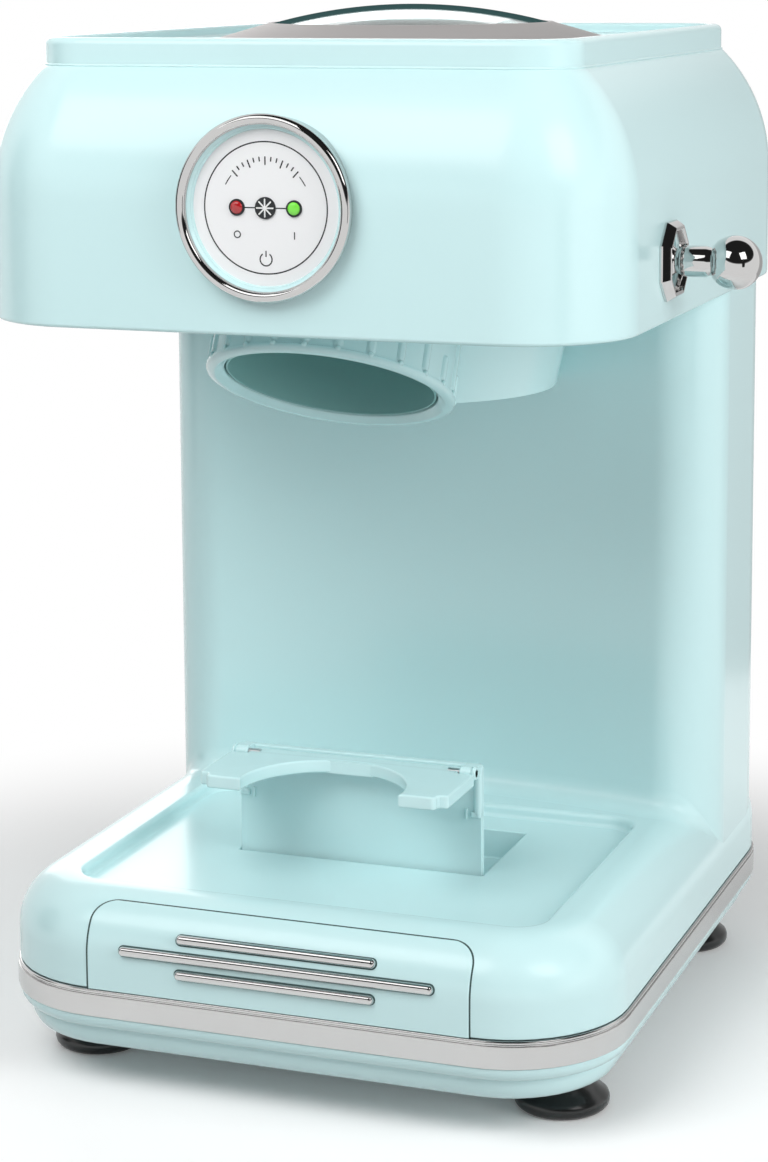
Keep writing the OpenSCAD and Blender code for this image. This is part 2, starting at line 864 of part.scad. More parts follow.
module head_screws() {
    color(steel) for (side_x = [-1, 1], post = column_posts) translate([side_x * post[0], post[1], 0]) {
        translate([0, 0, floor_top]) cylinder(r = screw_head_r, h = screw_head_h);
        translate([0, 0, head_z - screw_bite]) cylinder(r = screw_r, h = floor_t + screw_bite);
    }
}

module head_shell() {
    ledge_inset = head_wall + ledge_w;
    color(aqua) difference() {
        union() {
            difference() {
                head_form(0, head_z, 0);
                head_form(head_wall, head_z - cut, head_wall + cut);
            }
            translate([0, head_y, 0]) difference() {
                rounded_block(head_w - head_wall, head_d - head_wall, head_r - head_wall / 2,
                    floor_top, floor_top + ledge_h);
                rounded_block(head_w - 2 * ledge_inset, head_d - 2 * ledge_inset, head_r - ledge_inset,
                    floor_top - cut, floor_top + ledge_h + cut);
            }
        }
        on_gauge() translate([0, 0, -cut]) cylinder(r = bezel_r + fit, h = gauge_l + far / 10);
        on_lever() slot_x(lever_slot_w, lever_slot_h, pivot_x, head_side_x + cut);
    }
}

module top_frame() {
    w = head_w - 2 * rim_inset;
    d = head_d - 2 * rim_inset;
    r = head_r - rim_inset;
    round_r = rim_w / 2;
    profile = shoulder_profile(rim_z, rim_top - round_r, round_r, 80);
    color(aqua) difference() {
        translate([0, head_y, 0]) rounded_form(w, d, r, profile);
        translate([0, head_y, 0])
            rounded_block(w - 2 * rim_w, d - 2 * rim_w, r - rim_w, deck_z, rim_top + cut);
        translate([0, head_y, 0])
            rounded_block(w - 2 * rim_w, d - 2 * rim_w, r - rim_w, rim_z - cut, deck_low);
        on_cutter() translate([0, 0, deck_low - cut]) cylinder(r = deck_hole_r, h = deck_t + 2 * cut);
    }
}

module hopper() {
    low = disc_top + hopper_gap;
    color(white) on_cutter() {
        tube(hopper_r + hopper_t, hopper_r, low, deck_low);
        tube(hopper_flange_r, hopper_r + hopper_t / 2, deck_low - hopper_flange_t, deck_low);
    }
}

module cutter_housing() {
    floor_z = boss_low_z + boss_wall;
    color(aqua) difference() {
        union() {
            difference() {
                on_cutter() translate([0, 0, boss_low_z])
                    cylinder(r1 = boss_r - boss_slope, r2 = boss_r, h = boss_h);
                boss_cavity(floor_z, head_z + cut);
                on_chute() translate([0, 0, -chute_drop]) cylinder(r = collar_r + fit, h = 5 * chute_drop);
                translate([0, 0, boss_low_z - cut]) linear_extrude(boss_h + 2 * cut) column_plan(-fit);
            }
            on_cutter() translate([0, 0, boss_low_z]) cylinder(r = post_out_r, h = boss_h);
        }
        on_cutter() translate([0, 0, floor_z]) cylinder(r = post_bore_r, h = boss_h);
    }
}

module ice_chute() {
    color(smoke) difference() {
        intersection() {
            union() {
                on_chute() translate([0, 0, chute_step]) cylinder(r = chute_r, h = 3 * chute_drop);
                on_chute() translate([0, 0, chute_step]) intersection() {
                    cylinder(r = chute_r + chute_flange_w, h = 3 * chute_drop);
                    rotate([chute_tilt, 0, 0]) translate([-far / 2, -far / 2, 0]) cube(far);
                }
            }
            chute_limit();
        }
        on_chute() cylinder(r = chute_bore_r, h = 4 * chute_drop);
        boss_cavity(boss_low_z + boss_wall, gear_z);
        difference() {
            translate([-far / 2, -far / 2, 0]) cube([far, far, floor_top]);
            on_chute() cylinder(r = chute_r, h = 4 * chute_drop);
        }
    }
}

// Half space under the top of the chute's flange
module chute_limit() {
    translate([-far / 2, -far / 2, 0]) cube([far, far, floor_top + chute_flange_t]);
}

module chute_collar() {
    color(aqua) difference() {
        intersection() {
            on_chute() union() {
                cylinder(r = collar_r - collar_groove, h = 3 * chute_drop);
                cylinder(r = collar_r, h = collar_lip_h);
                for (i = [0:collar_ribs - 1]) rotate([0, 0, (i + 0.5) * 360 / collar_ribs])
                    translate([collar_r / 2, -rib_w / 2, 0]) cube([collar_r / 2, rib_w, 3 * chute_drop]);
            }
            translate([-far / 2, -far / 2, 0]) cube([far, far, head_z]);
        }
        on_chute() translate([0, 0, -cut]) cylinder(r = mouth_r, h = 4 * chute_drop);
        boss_cavity(boss_low_z + boss_wall, gear_z);
    }
}

module upper_bush() {
    color("peru") on_cutter() tube(post_bore_r - fit / 2, shaft_r + run_gap, head_z - bush_h, head_z);
}

module lower_bush() {
    low = boss_low_z + boss_wall;
    color("peru") on_cutter() tube(post_bore_r - fit / 2, shaft_r + run_gap, low, low + bush_h);
}

module cutter_shaft() {
    color(steel) on_cutter() translate([0, 0, shaft_low])
        cylinder(r = shaft_r, h = disc_top + nut_h + 1 - shaft_low);
}

// Spur gear with straight-sided teeth, a tooth on the X axis
module gear_plan(teeth) {
    pitch_r = gear_module * teeth / 2;
    root_r = pitch_r - 1.2 * gear_module;
    tip_r = pitch_r + 0.8 * gear_module;
    step = 360 / teeth;
    root_part = 0.33 * step;
    tip_part = 0.14 * step;
    polygon([for (i = [0:teeth - 1], k = [0:3]) let (
        r = (k == 0 || k == 3) ? root_r : tip_r,
        a = i * step + [-root_part, -tip_part, tip_part, root_part][k]
    ) r * [cos(a), sin(a)]]);
}

module drive_gear() {
    rim_in = gear_r - gear_rim;
    color(white) on_cutter() translate([0, 0, gear_z]) difference() {
        union() {
            linear_extrude(gear_h) difference() {
                gear_plan(gear_teeth);
                circle(rim_in);
            }
            cylinder(r = gear_hub_r, h = gear_h);
            for (i = [0:gear_spokes - 1]) rotate([0, 0, i * 360 / gear_spokes])
                translate([0, -gear_spoke_w / 2, 0]) cube([rim_in + 1, gear_spoke_w, gear_h / 2]);
        }
        translate([0, 0, -cut]) cylinder(r = shaft_r, h = gear_h + 2 * cut);
    }
}

// Frame of one blade: X runs outward along the blade from the cutter's axis
module at_blades() {
    on_cutter() for (turn = [45, 225]) rotate([0, 0, turn]) children();
}

module at_blade_screws() {
    at_blades() for (x = [blade_in + blade_screw_in, blade_in + blade_l - blade_screw_in])
        translate([x, blade_w / 2 - 2, 0]) children();
}

module cutter_disc() {
    color(steel) difference() {
        on_cutter() translate([0, 0, disc_z]) cylinder(r = disc_r, h = disc_t);
        on_cutter() translate([0, 0, disc_z - cut]) cylinder(r = shaft_r, h = disc_t + 2 * cut);
        at_blades() translate([blade_in, -blade_w / 2 - blade_slot_w, disc_z - cut])
            cube([blade_l, blade_slot_w, disc_t + 2 * cut]);
        at_blade_screws() translate([0, 0, disc_z - cut]) cylinder(r = screw_r, h = disc_t + 2 * cut);
    }
}

module cutter_blades() {
    half = blade_w / 2;
    edge = [[-half, 0], [half, 0], [half, blade_t], [2 * blade_t - half, blade_t]];
    color(chrome) difference() {
        at_blades() translate([blade_in, 0, disc_top]) rotate([90, 0, 90])
            linear_extrude(blade_l) polygon(edge);
        at_blade_screws() translate([0, 0, disc_top - cut]) cylinder(r = screw_r, h = blade_t + 2 * cut);
    }
}

module blade_screws() {
    color(steel) at_blade_screws() {
        translate([0, 0, disc_z]) cylinder(r = screw_r, h = disc_t + blade_t);
        translate([0, 0, disc_top + blade_t]) cylinder(r = screw_r + 1, h = 1.4);
    }
}

module disc_nut() {
    color(steel) on_cutter() translate([0, 0, disc_top]) difference() {
        cylinder(r = nut_r, h = nut_h, $fn = 6);
        translate([0, 0, -cut]) cylinder(r = shaft_r, h = nut_h + 2 * cut);
    }
}

module at_motor_screws() {
    on_motor() for (side = [-1, 1]) translate([side * motor_screw_x, 0, 0]) children();
}

module motor_bracket() {
    color(steel) difference() {
        on_motor() translate([-bracket_w / 2, -bracket_d / 2, motor_top])
            cube([bracket_w, bracket_d, bracket_t]);
        on_motor() translate([0, 0, motor_top - cut])
            cylinder(r = motor_neck_r + fit, h = bracket_t + 2 * cut);
        at_motor_screws() translate([0, 0, motor_top - cut])
            cylinder(r = screw_r + fit, h = bracket_t + 2 * cut);
    }
}

module motor_can() {
    color(steel) difference() {
        on_motor() {
            translate([0, 0, motor_top - motor_h]) cylinder(r = motor_r, h = motor_h);
            translate([0, 0, motor_top]) cylinder(r = motor_neck_r, h = motor_neck_h);
        }
        on_motor() translate([0, 0, motor_top - motor_shaft_in])
            cylinder(r = motor_shaft_r + run_gap, h = motor_shaft_in + motor_neck_h + cut);
        at_motor_screws() translate([0, 0, motor_top - 6]) cylinder(r = screw_r + fit, h = 6 + cut);
    }
}

module motor_screws() {
    color(steel) at_motor_screws() {
        translate([0, 0, motor_top - 5]) cylinder(r = screw_r, h = bracket_t + 5);
        translate([0, 0, head_z]) cylinder(r = screw_head_r - 1, h = screw_head_h);
    }
}

module motor_shaft() {
    low = motor_top - motor_shaft_in + move_gap;
    high = gear_z + gear_h + 1;
    color(chrome) on_motor() translate([0, 0, low]) cylinder(r = motor_shaft_r, h = high - low);
}

module pinion() {
    color(steel) on_motor() translate([0, 0, gear_z]) difference() {
        rotate([0, 0, 270 + 180 / pinion_teeth]) linear_extrude(gear_h) gear_plan(pinion_teeth);
        translate([0, 0, -cut]) cylinder(r = motor_shaft_r, h = gear_h + 2 * cut);
    }
}

module lid_ring() {
    top = deck_z + lid_ring_h;
    ledge_z = top - lid_lip_h;
    outline = [
        [deck_hole_r - 2 * move_gap - spigot_t, deck_z - spigot_h],
        [deck_hole_r - 2 * move_gap, deck_z - spigot_h],
        [deck_hole_r - 2 * move_gap, deck_z],
        [lid_r, deck_z],
        [lid_r, deck_z + 0.8],
        [lid_lip_r + 0.8, top],
        [lid_lip_r - 1, top],
        [lid_lip_r - 1, ledge_z],
        [lid_lip_r - lid_lip_w, ledge_z],
        [lid_lip_r - lid_lip_w, ledge_z - 1]
    ];
    color(chrome) on_cutter() rotate_extrude() polygon(outline);
}

module lid_dome() {
    centre = dome_z + dome_rise - dome_sphere_r;
    color([0.5, 0.6, 0.6, 0.5]) on_cutter() rotate_extrude() intersection() {
        translate([0, centre]) difference() {
            circle(dome_sphere_r);
            circle(dome_sphere_r - dome_t);
        }
        translate([0, dome_z]) square([dome_r, 2 * dome_rise]);
    }
}

module lid_gasket() {
    outer = deck_hole_r - 2 * move_gap;
    color(black) on_cutter()
        tube(outer - 2 * fit, outer - spigot_t, deck_low + gasket_gap, deck_z - spigot_h);
}

module gauge_bezel() {
    section = concat(
        [[bezel_tube_in, 0], [bezel_r, 0]],
        arc([bezel_r - bezel_round, gauge_l - bezel_round], bezel_round, 0, 90),
        [[bezel_lip_r + 1, gauge_l - 0.8], [bezel_lip_r, dial_front], [bezel_tube_in, dial_front]]
    );
    color(chrome) on_gauge() rotate_extrude() polygon(section);
}

module gauge_cup() {
    inner = dial_r - cup_t;
    section = [
        [0, 0], [dial_r, 0], [dial_r, dial_front - dial_t], [inner, dial_front - dial_t], [inner, board_z],
        [inner - cup_ledge, board_z], [inner - cup_ledge, cup_back_t], [0, cup_back_t]
    ];
    color(black) on_gauge() rotate_extrude() polygon(section);
}

module gauge_dial() {
    color(white) on_gauge() difference() {
        translate([0, 0, dial_front - dial_t]) cylinder(r = dial_r, h = dial_t);
        for (side = [-1, 1]) translate([side * lamp_x, 0, dial_front - dial_t - cut])
            cylinder(r = lamp_r + fit, h = dial_t + 2 * cut);
    }
}

module dial_hub() {
    color(black) on_gauge() translate([0, 0, dial_front]) cylinder(r = hub_r, h = hub_t);
}

module lamp(x) {
    low = board_z + board_t;
    high = dial_front + lamp_out / 2;
    crown = lamp_r / 2;
    section = concat([[0, low], [lamp_r, low]], arc([crown, high], crown, 0, 90), [[0, high + crown]]);
    on_gauge() translate([x, 0, 0]) rotate_extrude() polygon(section);
}

module red_lamp() {
    color("firebrick") lamp(-lamp_x);
}

module green_lamp() {
    color("limegreen") lamp(lamp_x);
}

module lamp_board() {
    color("darkgreen") on_gauge() translate([0, 0, board_z]) cylinder(r = dial_r - cup_t - fit, h = board_t);
}

// Long octagon in the side view, grown by a margin
module octagon(margin) {
    w = lever_plate_w / 2 + margin;
    h = lever_plate_h / 2 + margin;
    c = lever_plate_cut + margin / 2;
    polygon([
        [w, c - h], [w, h - c], [w - c, h], [c - w, h],
        [-w, h - c], [-w, c - h], [c - w, -h], [w - c, -h]
    ]);
}

module lever_plate() {
    color(chrome) on_lever() difference() {
        translate([head_side_x, 0, 0]) rotate([90, 0, 90]) {
            linear_extrude(lever_plate_t - lever_bevel) octagon(0);
            linear_extrude(lever_plate_t) octagon(-lever_bevel);
        }
        slot_x(lever_slot_w, lever_slot_h, head_side_x - cut, head_side_x + lever_plate_t + cut);
    }
}

module lever_bracket() {
    plate_x = head_side_x - head_wall - bracket_plate_t;
    color(steel) on_lever() difference() {
        union() {
            translate([plate_x, -bracket_half, -bracket_half])
                cube([bracket_plate_t, 2 * bracket_half, 2 * bracket_half]);
            for (side = [-1, 1]) translate([ear_end_x, side * (ear_gap + ear_t) / 2 - ear_t / 2, -ear_half_h])
                cube([plate_x - ear_end_x + cut, ear_t, 2 * ear_half_h]);
        }
        slot_x(lever_slot_w, lever_slot_h + 2, plate_x - cut, plate_x + bracket_plate_t + cut);
        translate([pivot_x, 0, 0]) rotate([90, 0, 0]) cylinder(r = pivot_pin_r, h = 4 * eye_w, center = true);
    }
}

module lever_pin() {
    color(steel) on_lever() translate([pivot_x, 0, 0]) rotate([90, 0, 0])
        cylinder(r = pivot_pin_r, h = ear_gap + 2 * ear_t + 2, center = true);
}

module lever_stem() {
    ball_x = head_side_x + ball_out;
    shoulder_x = ball_x - ball_r + stem_neck;
    color(chrome) on_lever() difference() {
        union() {
            translate([pivot_x, 0, 0]) rotate([0, 90, 0]) cylinder(r = stem_r, h = shoulder_x - pivot_x);
            translate([shoulder_x - cut, 0, 0]) rotate([0, 90, 0])
                cylinder(r = ball_bore_r, h = ball_bore_h - stem_neck + cut);
            translate([pivot_x, 0, 0]) rotate([90, 0, 0]) cylinder(r = eye_r, h = eye_w, center = true);
            translate([pivot_x - tail_l, 0, 0]) rotate([0, 90, 0]) cylinder(r = tail_r, h = tail_l);
        }
        translate([pivot_x, 0, 0]) rotate([90, 0, 0])
            cylinder(r = pivot_pin_r + run_gap, h = 2 * eye_w, center = true);
    }
}

module lever_ball() {
    ball_x = head_side_x + ball_out;
    seat = stem_neck - ball_r;
    color(chrome) on_lever() translate([ball_x, 0, 0]) rotate([0, 90, 0]) rotate_extrude() difference() {
        intersection() {
            circle(ball_r);
            translate([0, seat]) square([ball_r, 2 * ball_r]);
        }
        translate([-cut, seat - cut]) square([ball_bore_r + cut, ball_bore_h + cut]);
    }
}

module micro_switch() {
    color(black) on_lever() {
        translate([ear_end_x + 1, -ear_gap / 2, -switch_h / 2]) cube([switch_l, ear_gap, switch_h]);
        translate([ear_end_x + switch_l + 1, 0, 0]) rotate([0, 90, 0]) cylinder(r = plunger_r, h = plunger_l);
    }
}

module holder_wall() {
    color(aqua) difference() {
        union() {
            translate([-holder_w / 2, holder_y, hinge_z]) cube([holder_w, holder_t, wall_top - hinge_z]);
            translate([-holder_w / 2, hinge_y, hinge_z]) rotate([0, 90, 0])
                cylinder(r = hinge_r, h = holder_w);
            for (side = [-1, 1]) translate([side * (holder_w - barrel_len) / 2, shelf_axis_y, shelf_axis_z]) {
                rotate([0, 90, 0]) cylinder(r = barrel_r, h = barrel_len, center = true);
                translate([-barrel_len / 2, 0, -barrel_web / 2])
                    cube([barrel_len, holder_y - shelf_axis_y + cut, barrel_web]);
            }
        }
        translate([-holder_w, shelf_axis_y, shelf_axis_z]) rotate([0, 90, 0])
            cylinder(r = holder_pin_r + run_gap, h = 2 * holder_w);
        for (side = [-1, 1]) translate([side * (holder_w / 2 - holder_pin_in / 2), hinge_y, hinge_z])
            rotate([0, 90, 0]) cylinder(r = holder_pin_r, h = holder_pin_in, center = true);
    }
}

module holder_pins() {
    color(steel) for (side = [-1, 1])
        translate([side * (holder_w / 2 + (holder_pin_out - holder_pin_in) / 2), hinge_y, hinge_z])
            rotate([0, 90, 0]) cylinder(r = holder_pin_r, h = holder_pin_in + holder_pin_out, center = true);
}

module holder_shelf() {
    inner_w = 2 * (barrel_in - move_gap);
    front_w = holder_w - 2 * shelf_step_w;
    color(aqua) translate([0, shelf_axis_y, shelf_axis_z]) difference() {
        union() {
            rotate([90, 0, 90]) linear_extrude(inner_w, center = true) {
                intersection() {
                    circle(shelf_low);
                    translate([-shelf_low, -shelf_low]) square([2 * shelf_low, shelf_t]);
                }
                translate([-shelf_reach, -shelf_low]) square([shelf_reach, shelf_t]);
            }
            translate([-holder_w / 2, shelf_step_d - shelf_reach, -shelf_low])
                cube([holder_w, shelf_reach - shelf_step_d - barrel_r - 2 * move_gap, shelf_t]);
            translate([-front_w / 2, -shelf_reach, -shelf_low]) cube([front_w, shelf_reach / 2, shelf_t]);
        }
        translate([0, notch_y - shelf_axis_y, -2 * shelf_low]) cylinder(r = notch_r, h = 4 * shelf_low);
        translate([-notch_r, notch_y - shelf_axis_y - shelf_reach, -2 * shelf_low])
            cube([2 * notch_r, shelf_reach, 4 * shelf_low]);
        for (side = [-1, 1]) translate([side * barrel_in, 0, 0]) rotate([0, 90, 0])
            cylinder(r = holder_pin_r, h = 2 * holder_pin_in, center = true);
    }
}

module shelf_pins() {
    color(steel) for (side = [-1, 1])
        translate([side * (barrel_in + (barrel_len - holder_pin_in) / 2), shelf_axis_y, shelf_axis_z])
            rotate([0, 90, 0]) cylinder(r = holder_pin_r, h = holder_pin_in + barrel_len, center = true);
}

base_pan();
chrome_band();
foot_front_left();
foot_front_right();
foot_rear_left();
foot_rear_right();
foot_screws();
pan_screws();
body_shell();
front_panel();
front_trim();
rear_cover();
cover_screws();
cord_gland();
terminal_block();
wire_harness();
head_floor();
head_screws();
head_shell();
top_frame();
hopper();
cutter_housing();
ice_chute();
chute_collar();
upper_bush();
lower_bush();
cutter_shaft();
drive_gear();
cutter_disc();
cutter_blades();
blade_screws();
disc_nut();
motor_bracket();
motor_can();
motor_screws();
motor_shaft();
pinion();
lid_ring();
lid_dome();
lid_gasket();
gauge_bezel();
gauge_cup();
gauge_dial();
dial_hub();
red_lamp();
green_lamp();
lamp_board();
lever_plate();
lever_bracket();
lever_pin();
lever_stem();
lever_ball();
micro_switch();
holder_wall();
holder_pins();
holder_shelf();
shelf_pins();
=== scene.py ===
"""Looks of a retro countertop snow-cone machine, built around its fixed frame. Sizes are in millimetres."""

import json
import math

import bmesh
import bpy
from mathutils import Matrix, Vector
from mathutils.geometry import tessellate_polygon

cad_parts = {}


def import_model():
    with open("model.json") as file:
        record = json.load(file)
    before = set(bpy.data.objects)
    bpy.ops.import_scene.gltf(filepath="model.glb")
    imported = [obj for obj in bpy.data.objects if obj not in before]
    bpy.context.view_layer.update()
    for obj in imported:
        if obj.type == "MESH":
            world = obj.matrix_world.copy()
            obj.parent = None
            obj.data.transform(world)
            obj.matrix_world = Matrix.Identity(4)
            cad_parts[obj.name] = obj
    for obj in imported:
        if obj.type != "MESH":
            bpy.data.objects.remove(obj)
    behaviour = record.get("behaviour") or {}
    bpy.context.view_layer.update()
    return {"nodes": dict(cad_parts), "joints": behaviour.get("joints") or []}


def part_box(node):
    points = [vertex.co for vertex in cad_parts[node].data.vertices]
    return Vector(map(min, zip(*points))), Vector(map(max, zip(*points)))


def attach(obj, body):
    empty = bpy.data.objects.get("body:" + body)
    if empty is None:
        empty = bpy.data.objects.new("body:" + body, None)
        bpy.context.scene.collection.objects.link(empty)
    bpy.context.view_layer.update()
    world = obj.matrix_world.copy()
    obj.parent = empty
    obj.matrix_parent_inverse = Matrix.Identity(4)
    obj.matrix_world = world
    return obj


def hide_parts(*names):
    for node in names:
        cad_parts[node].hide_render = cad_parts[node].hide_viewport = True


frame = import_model()

MM = 0.001
ARC = 12
TURN = 96
FINE = 160


def box_mm(node):
    """Lowest and highest corner of a frame node, in millimetres."""
    low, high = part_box(node)
    return low / MM, high / MM


def shift(x, y, z):
    return Matrix.Translation((x, y, z))


def joint_mm(name):
    """Place of a joint in the frame, in millimetres."""
    return Vector(JOINTS[name]["pos_m"]) / MM


# Places read from the frame
PAN_LOW, PAN_HIGH = box_mm("base_pan")
BAND_LOW, BAND_HIGH = box_mm("chrome_band")
SHELL_HIGH = box_mm("body_shell")[1]
HEAD_LOW, HEAD_HIGH = box_mm("head_shell")
RIM_LOW, RIM_HIGH = box_mm("top_frame")
RING_LOW, RING_HIGH = box_mm("lid_ring")
DOME_LOW = box_mm("lid_dome")[0]
BEZEL_LOW, BEZEL_HIGH = box_mm("gauge_bezel")
PLATE_LOW, PLATE_HIGH = box_mm("lever_plate")
BALL_LOW, BALL_HIGH = box_mm("lever_ball")
WALL_HIGH = box_mm("holder_wall")[1]
SHELF_LOW, SHELF_HIGH = box_mm("holder_shelf")
COVER_LOW, COVER_HIGH = box_mm("rear_cover")
GLAND_LOW, GLAND_HIGH = box_mm("cord_gland")
GLAND_AT = (GLAND_LOW + GLAND_HIGH) / 2
JOINTS = {joint["name"]: joint for joint in frame["joints"]}

# Base
BASE_R = 39
PAN_EDGE = 0.6
PAN_TIER_H = 4.4
PAN_TIER_IN = 3.0
PAN_STEP = 4.0
PAN_FOOT = 8.2
BAND_BEVEL = 0.8
BAND_T = 2
SHELL_X = SHELL_HIGH.x
SHELL_Y = SHELL_HIGH.y
SHELL_R = 38.2
SHELL_Z = BAND_HIGH.z
SKIRT_IN = 1.3
SHOULDER_R = 18
SHOULDER_Z = 45.8
BASE_TOP = SHOULDER_Z + SHOULDER_R
TRAY_HALF = (78, 58)
TRAY_Y = -41.5
TRAY_R = 10
TRAY_Z = BASE_TOP - 4.1
TRAY_EDGE = 1.7
WELL_HALF = (42.9, 24.1)
WELL_Y = -22.7
WELL_Z = TRAY_Z - 10

# Column
COLUMN_X = 101.3
COLUMN_BACK = 119.5
COLUMN_R = 41
COLUMN_FRONT = 35.5
NOSE_R = 18
NOSE_Y = 44.5
FILLET = 8
FLARE_START = 12
FLARE_TURN = 62

# Head and lid
HEAD_R = 35
HEAD_SHOULDER_R = 56.7
HEAD_SHOULDER_Z = HEAD_LOW.z + 38.5
HEAD_WALL = 3
RIM_R = 18.4
RIM_Z = HEAD_HIGH.z
RIM_W = 4.4
DECK_Z = RIM_HIGH.z - 3.4
LID_Y = 8
DECK_HOLE_R = 56

# Gauge and lever
GAUGE_Z = (BEZEL_LOW.z + BEZEL_HIGH.z) / 2
GAUGE_FRONT = BEZEL_LOW.y
DIAL_FRONT = box_mm("gauge_dial")[0].y
BEZEL_R = BEZEL_HIGH.x - 1
LAMP_X = 9.1
PIVOT = joint_mm("lever_tilt")
HEAD_SIDE = HEAD_HIGH.x
PLATE_OUT = 3.6
BALL_R = (BALL_HIGH.z - BALL_LOW.z) / 2

# Chute
CHUTE_TILT = 26
CHUTE_AT = Vector((0, -68.8, 220.4))
COLLAR_R = 39.5
MOUTH_R = 33.9
COLLAR_RIBS = 24
CHUTE_PLACE = Matrix.Translation(CHUTE_AT) @ Matrix.Rotation(math.radians(-CHUTE_TILT), 4, "X")

# Turns of flat outlines, with local Y up and local Z to the front, the right side or the back
FORWARDS = Matrix.Rotation(math.radians(90), 4, "X")
SIDEWAYS = Matrix(((0, 0, 1, 0), (1, 0, 0, 0), (0, 1, 0, 0), (0, 0, 0, 1)))
BACKWARDS = Matrix(((-1, 0, 0, 0), (0, 0, 1, 0), (0, 1, 0, 0), (0, 0, 0, 1)))


# Materials


def add_node(tree, kind, inputs=None, **settings):
    """A new shader node. Each of its inputs gets a constant, or a link from another node's output."""
    node = tree.nodes.new("ShaderNode" + kind)
    for setting, value in settings.items():
        setattr(node, setting, value)
    for socket, value in (inputs or {}).items():
        if isinstance(value, bpy.types.NodeSocket):
            tree.links.new(value, node.inputs[socket])
        else:
            node.inputs[socket].default_value = value
    return node


def number_math(tree, operation, first, second, **settings):
    return add_node(tree, "Math", {0: first, 1: second}, operation=operation, **settings).outputs["Value"]


def product(tree, vector, factors):
    return add_node(tree, "VectorMath", {0: vector, 1: factors}, operation="MULTIPLY").outputs["Vector"]


def length_of(tree, vector):
    return add_node(tree, "VectorMath", {0: vector}, operation="LENGTH").outputs["Value"]


def object_place(tree):
    return add_node(tree, "TexCoord").outputs["Object"]


def mix_shaders(tree, amount, first, second):
    return add_node(tree, "MixShader", {"Fac": amount, 1: first, 2: second}).outputs["Shader"]


def show(tree, surface, output="Material Output"):
    tree.links.new(surface, tree.nodes[output].inputs["Surface"])


def shader(name, color, **sockets):
    """A new material with its main shader's constants set. Returns it, its node tree and that shader."""
    material = bpy.data.materials.new(name)
    material.use_nodes = True
    tree = material.node_tree
    main = tree.nodes["Principled BSDF"]
    main.inputs["Base Color"].default_value = (*color, 1)
    for socket, value in sockets.items():
        main.inputs[socket.replace("_", " ")].default_value = value
    return material, tree, main


def noise_of(tree, scale, detail=3, stretch=(1, 1, 1)):
    """A noise in the object's own coordinates, with scale in features per metre."""
    mapping = add_node(tree, "Mapping", {"Vector": object_place(tree), "Scale": stretch})
    inputs = {"Vector": mapping.outputs["Vector"], "Scale": scale, "Detail": detail}
    return add_node(tree, "TexNoise", inputs).outputs["Fac"]


def uneven_gloss(tree, main, value, rough, share):
    """Varies the roughness either way by a share of it, with a noise."""
    inputs = {"Value": value, "To Min": rough * (1 - share), "To Max": rough * (1 + share)}
    tree.links.new(add_node(tree, "MapRange", inputs).outputs["Result"], main.inputs["Roughness"])


def ease(tree, value, low, high):
    """Goes smoothly from 0 to 1 as a value goes from low to high."""
    inputs = {"Value": value, "From Min": low, "From Max": high}
    return add_node(tree, "MapRange", inputs, interpolation_type="SMOOTHSTEP").outputs["Result"]


def tint(tree, main, color, value, amount):
    """Varies the base colour a little either way with a noise."""
    low = [c * (1 - amount) for c in color]
    high = [min(1, c * (1 + amount)) for c in color]
    mix = add_node(tree, "Mix", {"Factor": value, "A": (*low, 1), "B": (*high, 1)}, data_type="RGBA")
    tree.links.new(mix.outputs["Result"], main.inputs["Base Color"])


def bump(tree, main, value, depth, strength):
    """Adds a fine relief, with its depth in millimetres."""
    inputs = {"Height": value, "Distance": depth * MM, "Strength": strength}
    tree.links.new(add_node(tree, "Bump", inputs).outputs["Normal"], main.inputs["Normal"])


def plastic(name, color, rough=0.3, grain=420, depth=0.0015, coat=0.35):
    """Glossy moulded plastic: a faint orange peel, slight colour drift and uneven gloss."""
    material, tree, main = shader(name, color, Coat_Weight=coat, Coat_Roughness=0.14, IOR=1.5)
    tint(tree, main, color, noise_of(tree, 7, 0), 0.006)
    uneven_gloss(tree, main, noise_of(tree, 12, 0), rough, 0.05)
    bump(tree, main, noise_of(tree, grain, 1), depth, 0.2)
    return material


def metal(name, color, rough, grain=(1, 1, 1), scale=400, depth=0.002, strength=0.3):
    """Plated or machined metal, with a grain that may run along one axis."""
    material, tree, main = shader(name, color, Metallic=1.0)
    marks = noise_of(tree, scale, 3, grain)
    uneven_gloss(tree, main, marks, rough, 0.25)
    tint(tree, main, color, noise_of(tree, 60, 2), 0.03)
    bump(tree, main, marks, depth, strength)
    return material


def spun_metal(name, color, rough, centre):
    """Satin metal turned on a lathe: fine rings round an upright axis."""
    material, tree, main = shader(name, color, Metallic=1.0, Anisotropic=0.3)
    middle = [c * MM for c in centre]
    away = add_node(tree, "VectorMath", {0: object_place(tree), 1: middle}, operation="SUBTRACT")
    radius = length_of(tree, product(tree, away.outputs["Vector"], (1, 1, 0)))
    rings = {"W": radius, "Scale": 2600, "Detail": 3}
    marks = add_node(tree, "TexNoise", rings, noise_dimensions="1D").outputs["Fac"]
    uneven_gloss(tree, main, marks, rough, 0.2)
    tint(tree, main, color, marks, 0.05)
    bump(tree, main, marks, 0.004, 0.35)
    return material


